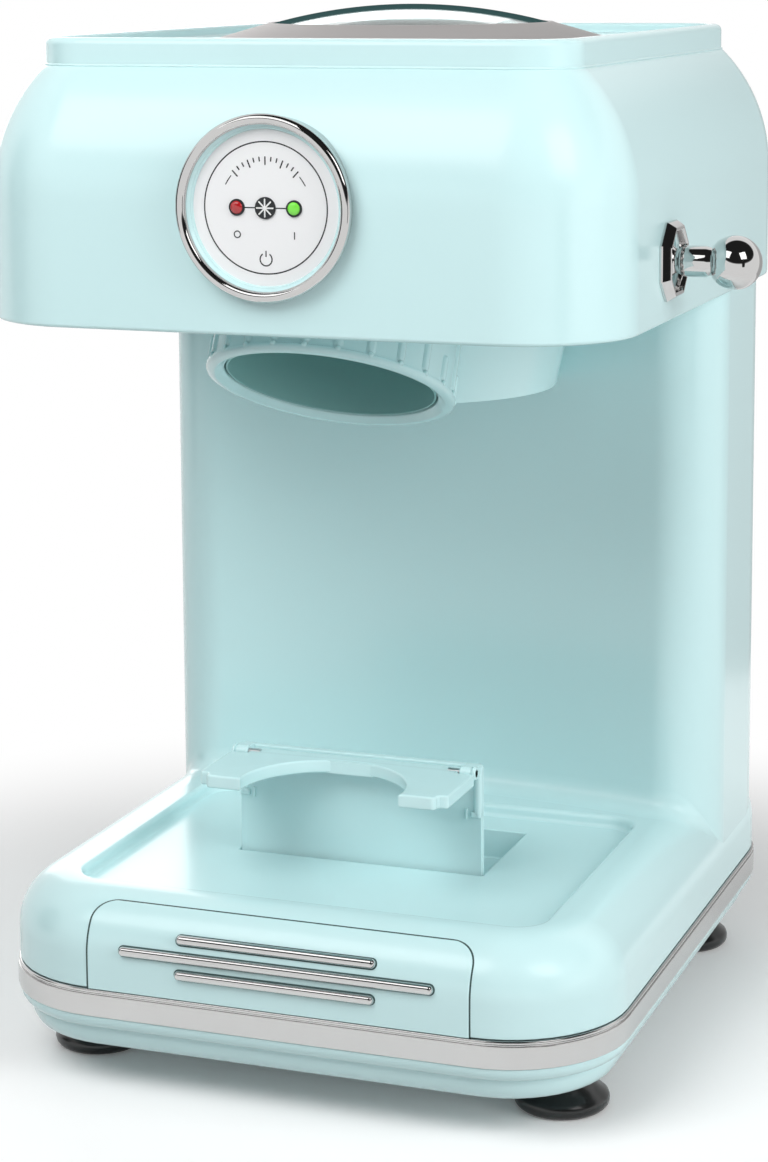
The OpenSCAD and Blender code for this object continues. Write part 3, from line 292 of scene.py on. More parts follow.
def clear(name, color, edge_shade_color, rough):
    """See-through plastic with faint moulding ripples. Where the outside of its upper wall is seen edge on, a
    dark matt colour takes over: painted shade for the darkness the thick wall shows there.
    """
    material, tree, main = shader(name, color, Transmission_Weight=1.0, IOR=1.25)
    uneven_gloss(tree, main, noise_of(tree, 120, 3), rough, 0.3)
    bump(tree, main, noise_of(tree, 60, 1), 0.004, 0.3)
    facing = add_node(tree, "LayerWeight", {"Blend": 0.5}).outputs["Facing"]
    face = add_node(tree, "NewGeometry").outputs
    upwards = add_node(tree, "SeparateXYZ", {"Vector": face["Normal"]}).outputs["Z"]
    top_side = number_math(tree, "GREATER_THAN", upwards, 0)
    outside = number_math(tree, "SUBTRACT", top_side, face["Backfacing"], use_clamp=True)
    amount = number_math(tree, "MULTIPLY", outside, ease(tree, facing, 0.83, 0.865))
    # Painted shade: a dark matt colour on the outside of the upper wall where it is seen edge on
    edge_shade = add_node(tree, "BsdfDiffuse", {"Color": (*edge_shade_color, 1)}).outputs["BSDF"]
    show(tree, mix_shaders(tree, amount, main.outputs["BSDF"], edge_shade))
    return material


AQUA = plastic("aqua_plastic", (0.590, 0.825, 0.840), rough=0.24)
SHADE = plastic("seam_shadow", (0.035, 0.075, 0.075), rough=0.6, coat=0.0)
CHROME = metal("chrome_trim", (0.60, 0.595, 0.59), 0.05, scale=160, strength=0.08)
BAND_METAL = metal("band_metal", (0.59, 0.585, 0.58), 0.16, grain=(1, 1, 12), scale=160, strength=0.15)
LID_SILVER = spun_metal("lid_silver", (0.42, 0.40, 0.395), 0.5, (0, LID_Y, 0))
STEEL = metal("steel", (0.56, 0.57, 0.58), 0.28, grain=(1, 6, 1), scale=300)
BRASS = metal("brass", (0.66, 0.48, 0.22), 0.3)
# The second colour is the painted shade where the dome's wall is seen edge on
SMOKE = clear("clear_smoke", (0.80, 0.90, 0.90), (0.045, 0.10, 0.10), 0.02)
RUBBER = plastic("black_rubber", (0.008, 0.009, 0.009), rough=0.3, grain=900, depth=0.004, coat=0.3)
WHITE = plastic("white_plastic", (0.80, 0.81, 0.80), rough=0.35)
BLACK = plastic("black_plastic", (0.012, 0.013, 0.014), rough=0.42, grain=1200, depth=0.006, coat=0.1)
# Painted shade: a darker copy of the aqua for the chute's shaded inside
CHUTE_SHADE = plastic("dark_chute", (0.26, 0.50, 0.49), rough=0.45, coat=0.1)
DIAL = plastic("dial_white", (0.85, 0.86, 0.87), rough=0.32, grain=1500, depth=0.002, coat=0.2)
INK = plastic("dial_ink", (0.012, 0.014, 0.016), rough=0.45, coat=0.0)
RED = plastic("red_lens", (0.42, 0.012, 0.016), rough=0.12, coat=0.9)
GREEN = plastic("green_lens", (0.20, 0.80, 0.06), rough=0.12, coat=0.6)
BOARD = plastic("circuit_board", (0.02, 0.16, 0.06), rough=0.5, coat=0.1)


# Mesh tools


WELD = 0.004
SLIVER = 0.002


def turns(start, end, steps=ARC):
    """Even steps from one angle in degrees to another, as radians."""
    return [math.radians(start + (end - start) * i / steps) for i in range(steps + 1)]


class Shape:
    """Points and faces of one piece, in millimetres."""

    def __init__(self):
        self.points = []
        self.faces = []

    def loft(self, rings, capped=False):
        """Joins rings of equal length with four-sided faces, and closes both ends if asked."""
        start = len(self.points)
        count = len(rings[0])
        for points in rings:
            self.points.extend(points)
        for row in range(len(rings) - 1):
            low = start + row * count
            for i in range(count):
                j = (i + 1) % count
                self.faces.append((low + i, low + j, low + count + j, low + count + i))
        if capped:
            end = len(self.points)
            self.faces.append(tuple(range(start, start + count)))
            self.faces.append(tuple(range(end - count, end)))
        return self

    def slab(self, front, back):
        """A closed slab between two grids of points."""
        return self.loft([row + back_row[::-1] for row, back_row in zip(front, back)], True)

    def lathe(self, profile, place, steps, closed=False):
        """Turns a list of (radius, height) points round the local Z axis."""
        turn = [math.tau * i / steps for i in range(steps)]
        rings = []
        for radius, height in profile + profile[:1] * closed:
            rings.append([place @ Vector((radius * math.cos(a), radius * math.sin(a), height)) for a in turn])
        return self.loft(rings)

    def plate(self, outer, holes, low, high, edge, place=Matrix(), steps=3):
        """A flat plate with rounded edges, from its outlines seen from above."""
        tops = []
        bottoms = []
        for sign, outline in [(1, outer)] + [(-1, hole) for hole in holes]:
            section = edge_section(low, high, edge, steps)
            start = len(self.points)
            self.loft(swept_rings(outline, [(sign * inset, z) for inset, z in section], place))
            end = len(self.points)
            bottoms.append(list(range(start, start + len(outline))))
            tops.append(list(range(end - len(outline), end)))
        self.fill(bottoms)
        self.fill(tops)
        return self

    def fill(self, loops):
        """Closes a flat region between loops of point numbers."""
        flat = [i for loop in loops for i in loop]
        for face in tessellate_polygon([[Vector(self.points[i]) for i in loop] for loop in loops]):
            self.faces.append(tuple(flat[i] for i in face))


def edge_section(low, high, edge, steps):
    """(inset, height) down a plate's rim, with both edges rounded."""
    quarter = turns(0, 90, steps)
    bottom = [(edge * (1 - math.sin(a)), low + edge * (1 - math.cos(a))) for a in quarter]
    top = [(edge * (1 - math.cos(a)), high - edge * (1 - math.sin(a))) for a in quarter]
    return bottom + top


def inset_outline(outline, inset):
    """An outline moved inwards by a distance. The outline runs anticlockwise."""
    moved = []
    count = len(outline)
    for i, (x, y) in enumerate(outline):
        before = Vector((x, y)) - Vector(outline[i - 1])
        after = Vector(outline[(i + 1) % count]) - Vector((x, y))
        before.normalize()
        after.normalize()
        way = before + after
        way.normalize()
        share = max(0.3, way.dot(before))
        moved.append((x - way.y * inset / share, y + way.x * inset / share))
    return moved


def swept_rings(outline, section, place):
    """Rings of an outline that follow a section of (inset, height)."""
    return [[place @ Vector((x, y, z)) for x, y in inset_outline(outline, inset)] for inset, z in section]


def arc(centre_x, centre_y, radius, start, end, steps=ARC):
    """Points along an arc, with angles in degrees."""
    angles = turns(start, end, steps)
    return [(centre_x + radius * math.cos(a), centre_y + radius * math.sin(a)) for a in angles]


def rounded_outline(half_x, half_y, radius, centre=(0, 0), steps=ARC):
    """A rectangle with round corners, anticlockwise from the middle of its right side."""
    points = []
    for turn, (side_x, side_y) in enumerate([(1, 1), (-1, 1), (-1, -1), (1, -1)]):
        x = centre[0] + side_x * (half_x - radius)
        y = centre[1] + side_y * (half_y - radius)
        points += arc(x, y, radius, 90 * turn, 90 * turn + 90, steps)
    return points


def at_height(outline, z):
    return [Vector((x, y, z)) for x, y in outline]


def rounded_rings(half_x, half_y, radius, centre, section):
    """Rings of a rounded rectangle that follow a section of (inset, height)."""
    return [at_height(rounded_outline(half_x - inset, half_y - inset, max(radius - inset, 0.01), centre), z)
            for inset, z in section]


def section_arc(inset, z, radius, start, end, steps=ARC):
    """(inset, height) points on an arc about a centre, with 0 degrees facing outwards."""
    return [(inset - radius * math.cos(a), z + radius * math.sin(a)) for a in turns(start, end, steps)]


def smooth_step(value):
    value = min(1, max(0, value))
    return value * value * (3 - 2 * value)


def add_object(name, data):
    obj = bpy.data.objects.new(name, data)
    bpy.context.scene.collection.objects.link(obj)
    return obj


def piece(name, shape, material, body="housing", replaced=(), crease=38):
    """Makes a shape into a piece that rides on a body and stands for frame nodes."""
    mesh = bpy.data.meshes.new(name)
    mesh.from_pydata([Vector(point) * MM for point in shape.points], [], shape.faces)
    work = bmesh.new()
    work.from_mesh(mesh)
    bmesh.ops.remove_doubles(work, verts=work.verts, dist=WELD * MM)
    bmesh.ops.dissolve_degenerate(work, edges=work.edges, dist=SLIVER * MM)
    bmesh.ops.recalc_face_normals(work, faces=work.faces)
    work.to_mesh(mesh)
    work.free()
    mesh.materials.append(material)
    mesh.shade_smooth()
    mesh.set_sharp_from_angle(angle=math.radians(crease))
    obj = add_object(name, mesh)
    weighted = obj.modifiers.new("flat faces stay flat", "WEIGHTED_NORMAL")
    weighted.keep_sharp = True
    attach(obj, body)
    if replaced:
        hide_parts(*replaced)


def skin(node, shape, material, body="housing", crease=38):
    """A piece that stands for one frame node."""
    piece(node + "_skin", shape, material, body, [node], crease)


# Base


def base_pan():
    low = PAN_LOW.z
    high = PAN_HIGH.z
    step_h = high - PAN_TIER_H - low
    tuck = PAN_FOOT - PAN_STEP
    quarter = turns(0, 90)
    lower = [(PAN_FOOT - tuck * math.sin(a), low + step_h * (1 - math.cos(a))) for a in quarter]
    upper = [(PAN_EDGE + PAN_TIER_IN * (1 - math.sin(a)), high - PAN_TIER_H * math.cos(a)) for a in quarter]
    rings = rounded_rings(BAND_HIGH.x, BAND_HIGH.y, BASE_R, (0, 0), lower + upper)
    skin("base_pan", Shape().loft(rings, True), AQUA)


def chrome_band():
    low = BAND_LOW.z
    high = BAND_HIGH.z
    outer = [
        (BAND_T, low), (BAND_BEVEL, low), (0.2, low + 0.25), (0, low + BAND_BEVEL),
        (0, high - 2.3), (0.12, high - 1.9), (0.55, high - 1.75), (0.55, high - 1.45),
    ]
    lip = section_arc(0.8, high - 0.8, 0.65, -60, 90, 6)
    rings = rounded_rings(BAND_HIGH.x, BAND_HIGH.y, BASE_R, (0, 0), outer + lip + [(BAND_T, high - 0.15)])
    skin("chrome_band", Shape().loft(rings + rings[:1]), BAND_METAL)


def foot(name):
    low, high = box_mm(name)
    place = shift((low.x + high.x) / 2, (low.y + high.y) / 2, low.z)
    height = high.z - low.z
    reach = (high.x - low.x) / 2
    sole_r = 2.6
    profile = [(0, 1.2), (7.5, 1.2), (8.2, 0), (reach - 3.6, 0)]
    profile += arc(reach - sole_r, sole_r, sole_r, -75, 0, 5)
    profile += [(reach, 3.4), (reach - 0.35, 4.3), (reach - 1.3, 5.2), (reach - 2.7, 6.3), (reach - 3.9, 7.8),
                (reach - 4.7, 9.6), (reach - 5.2, 11.6), (reach - 5.4, height), (0, height)]
    skin(name, Shape().lathe(profile, place, 64), RUBBER, crease=50)


def base_height(x, y):
    """Height of the base's outer skin over a point of its plan."""
    corner_x = abs(x) - (SHELL_X - SHELL_R)
    corner_y = abs(y) - (SHELL_Y - SHELL_R)
    inset = min(SHELL_X - abs(x), SHELL_Y - abs(y))
    if corner_x > 0 and corner_y > 0:
        inset = SHELL_R - math.hypot(corner_x, corner_y)
    drop = SHOULDER_R - min(max(inset, 0), SHOULDER_R)
    return SHOULDER_Z + math.sqrt(SHOULDER_R ** 2 - drop ** 2)


def column_outline(grow):
    """The column's plan grown by a distance, with the share of the bottom fillet at each point."""
    rise = NOSE_Y - COLUMN_FRONT
    nose_x = COLUMN_X - NOSE_R
    hollow_r = (nose_x ** 2 + rise ** 2 - NOSE_R ** 2) / (2 * (NOSE_R - rise))
    sweep = math.degrees(math.atan2(nose_x, hollow_r + rise))
    corner_x = COLUMN_X - COLUMN_R
    corner_y = COLUMN_BACK - COLUMN_R
    back_r = COLUMN_R + grow
    back = arc(corner_x, corner_y, back_r, 0, 90) + arc(-corner_x, corner_y, back_r, 90, 180)
    left = arc(-nose_x, NOSE_Y, NOSE_R + grow, 180, 270 + sweep, 2 * ARC)
    hollow = arc(0, COLUMN_FRONT - hollow_r, hollow_r - grow, 90 + sweep, 90 - sweep, 2 * ARC)[1:-1]
    right = arc(nose_x, NOSE_Y, NOSE_R + grow, 270 - sweep, 360, 2 * ARC)
    nose_turns = [(90 + sweep) * i / (2 * ARC) for i in range(2 * ARC + 1)]
    nose_share = [smooth_step((turn - FLARE_START) / FLARE_TURN) for turn in nose_turns]
    share = [0] * len(back) + nose_share + [1] * len(hollow) + nose_share[::-1]
    return back + left + hollow + right, share


def column_rings():
    """Rings of the column from under the base's skin, up its flared foot, to the head."""
    steps = 8
    root_in = 2
    root_z = SHOULDER_Z - 6
    sink = 1.5
    least_rise = 0.6
    foot_outline, share = column_outline(0)
    wide_outline = column_outline(FILLET)[0]
    rings = [at_height(column_outline(-root_in)[0], root_z)]
    landing = []
    for (x0, y0), (x1, y1), part in zip(foot_outline, wide_outline, share):
        landing.append((x0 + (x1 - x0) * part, y0 + (y1 - y0) * part))
    rings.append([Vector((x, y, base_height(x, y) - sink)) for x, y in landing])
    for i in range(steps + 1):
        t = 1 - i / steps
        ring = []
        for (x0, y0), (x1, y1), part in zip(foot_outline, landing, share):
            ground = base_height(x0, y0)
            end = base_height(x1, y1)
            rise = max(FILLET * part, least_rise)
            height = (1 - t) ** 2 * (ground + rise) + 2 * t * (1 - t) * ground + t * t * end
            ring.append(Vector((x0 + (x1 - x0) * t * t, y0 + (y1 - y0) * t * t, height)))
        rings.append(ring)
    rings.append(at_height(foot_outline, BASE_TOP + 3 * FILLET))
    rings.append(at_height(foot_outline, HEAD_LOW.z))
    return rings


def body_skin():
    section = [(SKIRT_IN, BAND_LOW.z + 1), (SKIRT_IN, SHELL_Z), (0.6, SHELL_Z), (0.18, SHELL_Z + 0.18),
               (0, SHELL_Z + 0.6)]
    section += section_arc(SHOULDER_R, SHOULDER_Z, SHOULDER_R, 0, 90, 2 * ARC)
    rings = rounded_rings(SHELL_X, SHELL_Y, SHELL_R, (0, 0), section)
    tray = [(-TRAY_EDGE, BASE_TOP)] + section_arc(-TRAY_EDGE, BASE_TOP - TRAY_EDGE, -TRAY_EDGE, -90, 0, 5)[1:]
    tray += section_arc(1.5, TRAY_Z + 1.5, 1.5, 0, -90, 5)
    rings += rounded_rings(*TRAY_HALF, TRAY_R, (0, TRAY_Y), tray)
    well = [(-0.3, TRAY_Z), (0, TRAY_Z - 0.3), (0, WELL_Z + 0.5), (0.5, WELL_Z)]
    rings += rounded_rings(*WELL_HALF, 1, (0, WELL_Y), well)
    shape = Shape().loft(rings, True)
    shape.loft(column_rings(), True)
    piece("body_skin", shape, AQUA, replaced=["body_shell"])
    # Painted shade: a flat dark patch flush with the well floor stands for the shadow inside a slot
    slot = rounded_outline(0.7, 3.2, 0.6, (35, -6))
    piece("well_slot", Shape().plate(slot, [], WELL_Z - 0.5, WELL_Z + 0.06, 0.03, steps=1), SHADE)


# Front panel and trim


PANEL_HALF = 63
PANEL_R = 8
PANEL_S = SHOULDER_Z - SHELL_Z + SHOULDER_R * math.radians(60)
PANEL_PROUD = 0.28
PANEL_EDGE = 0.45
PANEL_GAP = 0.02
SEAM_W = 0.55
SEAM_DEPTH = 0.5
SEAM_PROUD = 0.015
SEAM_STEPS = 24
TRIM_CROWN = 0.7


def front_point(x, up, out):
    """A point on the base's front, by its distance up the skin and out from it."""
    straight = SHOULDER_Z - SHELL_Z
    if up <= straight:
        return Vector((x, -SHELL_Y - out, SHELL_Z + up))
    turn = (up - straight) / SHOULDER_R
    reach = SHOULDER_R + out
    return Vector((x, -SHELL_Y + SHOULDER_R - reach * math.cos(turn), SHOULDER_Z + reach * math.sin(turn)))


def panel_half(up):
    """Half the panel's width at a distance up the skin, with its round top corners."""
    over = max(0, up - (PANEL_S - PANEL_R))
    return PANEL_HALF - PANEL_R + math.sqrt(PANEL_R ** 2 - min(over, PANEL_R) ** 2)


def front_panel():
    near = [0, 0.1, 0.25, PANEL_EDGE, 0.8]
    corner = [PANEL_R * (1 - math.sin(a)) for a in turns(0, 90)[:-1]]
    ups = sorted({0.0, 4.0, 8.0, *[round(PANEL_S - d, 4) for d in near + corner + [10, 13, 16]]})
    sides = near + [3, 12, 30, 48]
    face = []
    back = []
    for up in ups:
        half = panel_half(up)
        xs = [-half + d for d in sides] + [0] + [half - d for d in reversed(sides)]
        row = []
        for x in xs:
            margin = max(min(half - abs(x), PANEL_S - up), 0)
            lift = PANEL_PROUD * math.sqrt(1 - (1 - min(margin / PANEL_EDGE, 1)) ** 2)
            row.append(front_point(x, up, lift + PANEL_GAP))
        face.append(row)
        back.append([front_point(x, up, -SEAM_DEPTH) for x in xs])
    skin("front_panel", Shape().slab(face, back), AQUA)


def panel_seam():
    # Painted shade: a thin dark strip laid on the skin round the panel, for the shadow in the gap between
    # panel and body
    straight = PANEL_S - PANEL_R
    right = [(PANEL_HALF, straight * i / SEAM_STEPS) for i in range(SEAM_STEPS)]
    right += arc(PANEL_HALF - PANEL_R, straight, PANEL_R, 0, 90)
    path = right + [(-x, up) for x, up in reversed(right)]
    wide = inset_outline(path, -SEAM_W)
    wide[0] = (PANEL_HALF + SEAM_W, 0)
    wide[-1] = (-PANEL_HALF - SEAM_W, 0)
    line = []
    under = []
    for pair in zip(path, wide):
        line.append([front_point(*point, SEAM_PROUD) for point in pair])
        under.append([front_point(*point, -SEAM_DEPTH) for point in pair])
    piece("panel_seam", Shape().slab(line, under), SHADE)


def trim_bar(shape, up, length, half_h, thick):
    """A bar with a crowned face and round ends, along the front panel."""
    ends = [half_h * (1 - math.cos(a)) for a in turns(0, 90, 6)]
    xs = [-length / 2 + d for d in ends] + [0] + [length / 2 - d for d in reversed(ends)]
    rings = []
    for x in xs:
        inside = min(length / 2 - abs(x), half_h)
        size = max(0.02, math.sqrt(1 - (1 - inside / half_h) ** 2))
        ring = []
        for a in turns(0, 180, 12):
            out = PANEL_PROUD + thick * size * math.sin(a) ** TRIM_CROWN
            ring.append(front_point(x, up + half_h * size * math.cos(a), out))
        rings.append(ring + [front_point(x, up, 0)])
    shape.loft(rings, True)


def front_trim():
    half_h = 1.5
    outline_w = 0.35
    bars = Shape()
    # Painted shade: a dark, slightly larger copy under each bar gives the bars a shadowed outline
    outline_shade = Shape()
    for up, length in [(8.1, 66), (13.5, 104), (18.9, 66)]:
        trim_bar(bars, up, length, half_h, 1.9)
        trim_bar(outline_shade, up, length + 2 * outline_w, half_h + outline_w, 0.5)
    piece("front_trim_bars", bars, CHROME, replaced=["front_trim"], crease=50)
    piece("front_trim_backing", outline_shade, SHADE)


# Head and lid


def head_shell():
    turn = 45
    inset = HEAD_SHOULDER_R * (1 - math.cos(math.radians(turn)))
    outer = [(1.2, HEAD_LOW.z)] + section_arc(1.2, HEAD_LOW.z + 1.2, 1.2, -60, 0, 4)
    outer += section_arc(HEAD_SHOULDER_R, HEAD_SHOULDER_Z, HEAD_SHOULDER_R, 0, turn, 2 * ARC)
    inner = section_arc(HEAD_SHOULDER_R, HEAD_SHOULDER_Z, HEAD_SHOULDER_R - HEAD_WALL, turn, 0, ARC)
    section = outer + [(inset + 1, RIM_Z + 0.2)] + inner + [(HEAD_WALL, HEAD_LOW.z)]
    centre = (0, (HEAD_LOW.y + HEAD_HIGH.y) / 2)
    half_y = (HEAD_HIGH.y - HEAD_LOW.y) / 2
    rings = rounded_rings(HEAD_HIGH.x, half_y, HEAD_R, centre, section)
    skin("head_shell", Shape().loft(rings + rings[:1]), AQUA)


def fill_sides(ring, count=18):
    """Adds points along the straight sides of a rounded rectangle."""
    corner = len(ring) // 4
    filled = []
    for i, point in enumerate(ring):
        filled.append(point)
        if (i + 1) % corner == 0:
            after = ring[(i + 1) % len(ring)]
            filled += [point.lerp(after, j / count) for j in range(1, count)]
    return filled


def top_frame():
    centre = (0, (RIM_LOW.y + RIM_HIGH.y) / 2)
    half_x = RIM_HIGH.x
    half_y = (RIM_HIGH.y - RIM_LOW.y) / 2
    top = RIM_HIGH.z
    edge = RIM_W / 2
    wall = 0.45
    section = [(1.3, RIM_Z - 1)] + section_arc(0.4, RIM_Z + 0.3, 0.4, -80, 80, 8) + [(wall, RIM_Z + 0.85)]
    section += section_arc(wall + edge, top - edge, edge, 0, 90, 8)
    section += section_arc(RIM_W - 1, top - 1, -1, -90, 0, 4)
    section += section_arc(RIM_W + 0.8, DECK_Z + 0.8, 0.8, 0, -90, 4)
    rings = [fill_sides(ring) for ring in rounded_rings(half_x, half_y, RIM_R, centre, section)]
    for radius, z in [(DECK_HOLE_R + 0.4, DECK_Z), (DECK_HOLE_R, DECK_Z - 0.4), (DECK_HOLE_R, RIM_LOW.z)]:
        ring = []
        for point in rings[len(section) - 1]:
            turn = math.atan2(point.y - LID_Y, point.x)
            ring.append(Vector((radius * math.cos(turn), LID_Y + radius * math.sin(turn), z)))
        rings.append(ring)
    under = rounded_rings(half_x - 3, half_y - 3, RIM_R - 3, centre, [(0, RIM_LOW.z), (0, RIM_Z - 1)])
    rings += [fill_sides(ring) for ring in under]
    skin("top_frame", Shape().loft(rings + rings[:1]), AQUA)


def lid():
    place = shift(0, LID_Y, 0)
    edge = RING_HIGH.x - 1
    top = RING_HIGH.z
    lip_r = 47.4
    seat_r = 46
    ledge_r = 43.5
    seat_z = DOME_LOW.z
    spigot_r = DECK_HOLE_R - 0.6
    profile = [(spigot_r - 2.4, RING_LOW.z), (spigot_r - 0.3, RING_LOW.z), (spigot_r, RING_LOW.z + 0.3),
               (spigot_r, DECK_Z), (edge - 0.5, DECK_Z), (edge - 0.12, DECK_Z + 0.15), (edge, DECK_Z + 0.5),
               (edge - 0.2, DECK_Z + 0.85), (edge - 0.7, DECK_Z + 1.1), (lip_r + 0.7, top - 0.35),
               (lip_r, top - 0.05), (lip_r - 0.8, top), (seat_r + 0.5, top), (seat_r + 0.1, top - 0.2),
               (seat_r, top - 0.6), (seat_r, seat_z), (ledge_r, seat_z), (ledge_r, seat_z - 1)]
    skin("lid_ring", Shape().lathe(profile, place, FINE, True), LID_SILVER, "lid", 25)

    dome_r = seat_r - 0.35
    rise = 6.1
    crown = top - 0.2 + rise
    ball_r = (dome_r ** 2 + rise ** 2) / (2 * rise)
    thick = 2.4
    steps = 32
    angles = [math.asin(dome_r / ball_r) * (1 - i / steps) for i in range(steps + 1)]
    outside = [(ball_r * math.sin(a), crown - ball_r + ball_r * math.cos(a)) for a in angles]
    inside = [(r * (dome_r - thick) / dome_r, z - thick) for r, z in reversed(outside)]
    outside.insert(0, (dome_r, seat_z))
    inside.append((dome_r - thick, seat_z))
    skin("lid_dome", Shape().lathe(outside + inside, place, FINE, True), SMOKE, "lid")


# Gauge


def gauge_place(depth):
    """Looks out of the gauge: local Z points forwards, local Y up."""
    return shift(0, depth, GAUGE_Z) @ FORWARDS


def gauge_bezel():
    proud = HEAD_LOW.y - GAUGE_FRONT - 0.6
    dial = HEAD_LOW.y - DIAL_FRONT
    round_r = 1.65
    inner = BEZEL_R - 2 * round_r
    back = BEZEL_R - 2.4
    profile = [(back, -4), (BEZEL_R - 0.9, -4), (BEZEL_R - 0.9, 0.6), (BEZEL_R - 0.4, 1.0),
               (BEZEL_R - 0.15, proud - 2.6)]
    profile += arc(BEZEL_R - round_r, proud - round_r, round_r, -20, 200, 20) + [(back, proud - 2.6)]
    place = gauge_place(HEAD_LOW.y)
    bezel = Shape().lathe(profile, place, FINE, True)
    skin("gauge_bezel", bezel, CHROME, crease=45)
    wall = [(inner + 0.4, proud - 2.1), (inner, proud - 1.9), (inner - 0.2, proud - 2.05),
            (inner - 0.75, dial + 1.3), (inner - 0.8, dial + 1.1), (inner - 1.15, dial + 1.0),
            (inner - 1.25, dial + 0.8), (inner - 1.5, dial - 0.2), (inner + 0.4, dial - 0.2)]
    piece("gauge_well", Shape().lathe(wall, place, FINE, True), AQUA, crease=30)


def ring_outline(radius, steps, x=0, y=0):
    return arc(x, y, radius, 0, 360 - 360 / steps, steps - 1)


def turned(points, degrees):
    """Points of an outline turned about the origin."""
    c = math.cos(math.radians(degrees))
    s = math.sin(math.radians(degrees))
    return [(x * c - y * s, x * s + y * c) for x, y in points]


def bar_outline(x, y, length, width, upright=False):
    """A short bar with round ends, as an outline."""
    half = length / 2 - width / 2
    ends = arc(half, 0, width / 2, -90, 90, 6) + arc(-half, 0, width / 2, 90, 270, 6)
    return [(x + along, y + across) for along, across in turned(ends, 90 * upright)]


def dial_marks(place):
    """Printed marks: a ring, a scale, and plain signs under the lamps and at the bottom."""
    ink = Shape()
    sunk = 0.2
    proud = 0.08

    def mark(outline, *holes):
        ink.plate(outline, holes, -sunk, proud, proud / 2, place, 1)

    line_r = 19.5
    scale_r = 15.2
    scale_turn = 44
    end_r = 14.3
    mark(ring_outline(line_r + 0.2, 144), ring_outline(line_r - 0.2, 144))
    for side in (-1, 1):
        mark(bar_outline(side * 5.2, 0, 4.4, 0.36))
        for turn in (58, 53.5):
            mark(turned(bar_outline(end_r, 0, 2.2, 0.3, True), 90 - side * turn))
    for i in range(13):
        long = 2.6 if i % 3 == 0 else 1.5
        mark(turned(bar_outline(scale_r - long / 2, 0, long, 0.42), 90 + scale_turn * (i - 6) / 6))
    sign_y = -8
    mark(ring_outline(1.15, 40, -LAMP_X, sign_y), ring_outline(0.8, 40, -LAMP_X, sign_y))
    mark(bar_outline(LAMP_X, sign_y, 2.3, 0.36, True))
    switch_r = 1.9
    switch_y = -15.2
    open_ring = arc(0, switch_y, switch_r + 0.2, 125, 415, 36)
    mark(open_ring + arc(0, switch_y, switch_r - 0.2, 415, 125, 36))
    mark(bar_outline(0, switch_y + switch_r - 0.25, 1.9, 0.4, True))
    piece("dial_marks", ink, INK)


def gauge_dial():
    place = gauge_place(DIAL_FRONT)
    face = Shape().plate(ring_outline(24.2, TURN), [], -1.4, 0, 0.15, place, 2)
    piece("dial_face", face, DIAL, replaced=["gauge_dial"])
    dial_marks(place)
    hub = Shape().lathe([(0, -0.3), (3.25, -0.3), (3.25, 0.45), (3.05, 0.62), (0, 0.66)], place, 64)
    skin("dial_hub", hub, INK)
    star = Shape()
    for i in range(4):
        ray = turned(bar_outline(0, 0, 5.6, 0.46), 45 * i)
        star.plate(ray, [], 0.4, 0.72 + 0.01 * i, 0.06, place, 1)
    piece("dial_hub_star", star, WHITE)


def lamp(name, side, material):
    place = gauge_place(DIAL_FRONT) @ shift(side * LAMP_X, 0, 0)
    rim = [(1.9, -0.3), (2.5, -0.3), (2.5, 0.35), (2.36, 0.55), (2.1, 0.6), (1.9, 0.45)]
    piece(name + "_rim", Shape().lathe(rim, place, 48, True), INK)
    lens_r = 1.98
    lens = [(0, -0.4), (lens_r, -0.4)]
    lens += [(lens_r * math.cos(a), 0.3 + 0.85 * math.sin(a)) for a in turns(0, 90, 10)]
    piece(name + "_lens", Shape().lathe(lens, place, 48), material, replaced=[name])


# Lever


def lever_place(x):
    """Looks out of the lever's plate: local Z points to the side, local Y up."""
    return shift(x, PIVOT.y, PIVOT.z) @ SIDEWAYS


def lever_plate():
    half_h = (PLATE_HIGH.z - PLATE_LOW.z) / 2
    outline = rounded_outline(half_h, half_h, 6.6, steps=1)
    place = lever_place(HEAD_SIDE)
    out = PLATE_OUT
    floor_out = 0.9
    section = [(0.3, -0.6), (0, 0.2), (0, 0.8), (0.15, 1.15), (1.5, out - 0.35), (1.75, out - 0.1),
               (2.1, out), (2.4, out - 0.1), (2.7, out - 0.4), (3.3, floor_out - 0.2), (3.3, -0.6)]
    rings = swept_rings(outline, section, place)
    skin("lever_plate", Shape().loft(rings + rings[:1]), CHROME, crease=24)
    slot = rounded_outline(5.5, 8.25, 5.4)
    insert = Shape().plate(inset_outline(outline, 3.35), [slot], -0.6, floor_out, 0.4, place)
    piece("lever_plate_insert", insert, AQUA)


def lever():
    place = lever_place(PIVOT.x)
    ball_out = BALL_HIGH.x - PIVOT.x - BALL_R
    seat_r = HEAD_SIDE - PIVOT.x + 1.6
    stem_r = 4.8
    sphere = [(seat_r * math.sin(a), seat_r * math.cos(a)) for a in turns(60, 28, 8)]
    wide = sphere[-1]
    root = HEAD_SIDE + PLATE_OUT - PIVOT.x
    stem = [(0, 4)] + sphere + [
        (wide[0] - 0.5, wide[1] + 0.7), (3.8, wide[1] + 1.8), (3.7, root - 0.6), (stem_r - 0.5, root + 0.4),
        (stem_r, root + 1.1), (stem_r, ball_out - BALL_R - 0.2), (stem_r - 0.4, ball_out - BALL_R + 0.6),
        (stem_r - 0.5, ball_out - BALL_R + 2.4), (0, ball_out - BALL_R + 2.4),
    ]
    skin("lever_stem", Shape().lathe(stem, place, 64), CHROME, "lever", crease=45)
    ball = [(BALL_R * math.sin(a), ball_out - BALL_R * math.cos(a)) for a in turns(39, 180, 47)]
    ball.insert(0, (0, ball[0][1]))
    skin("lever_ball", Shape().lathe(ball, place, TURN), CHROME, "lever", crease=45)


# Chute


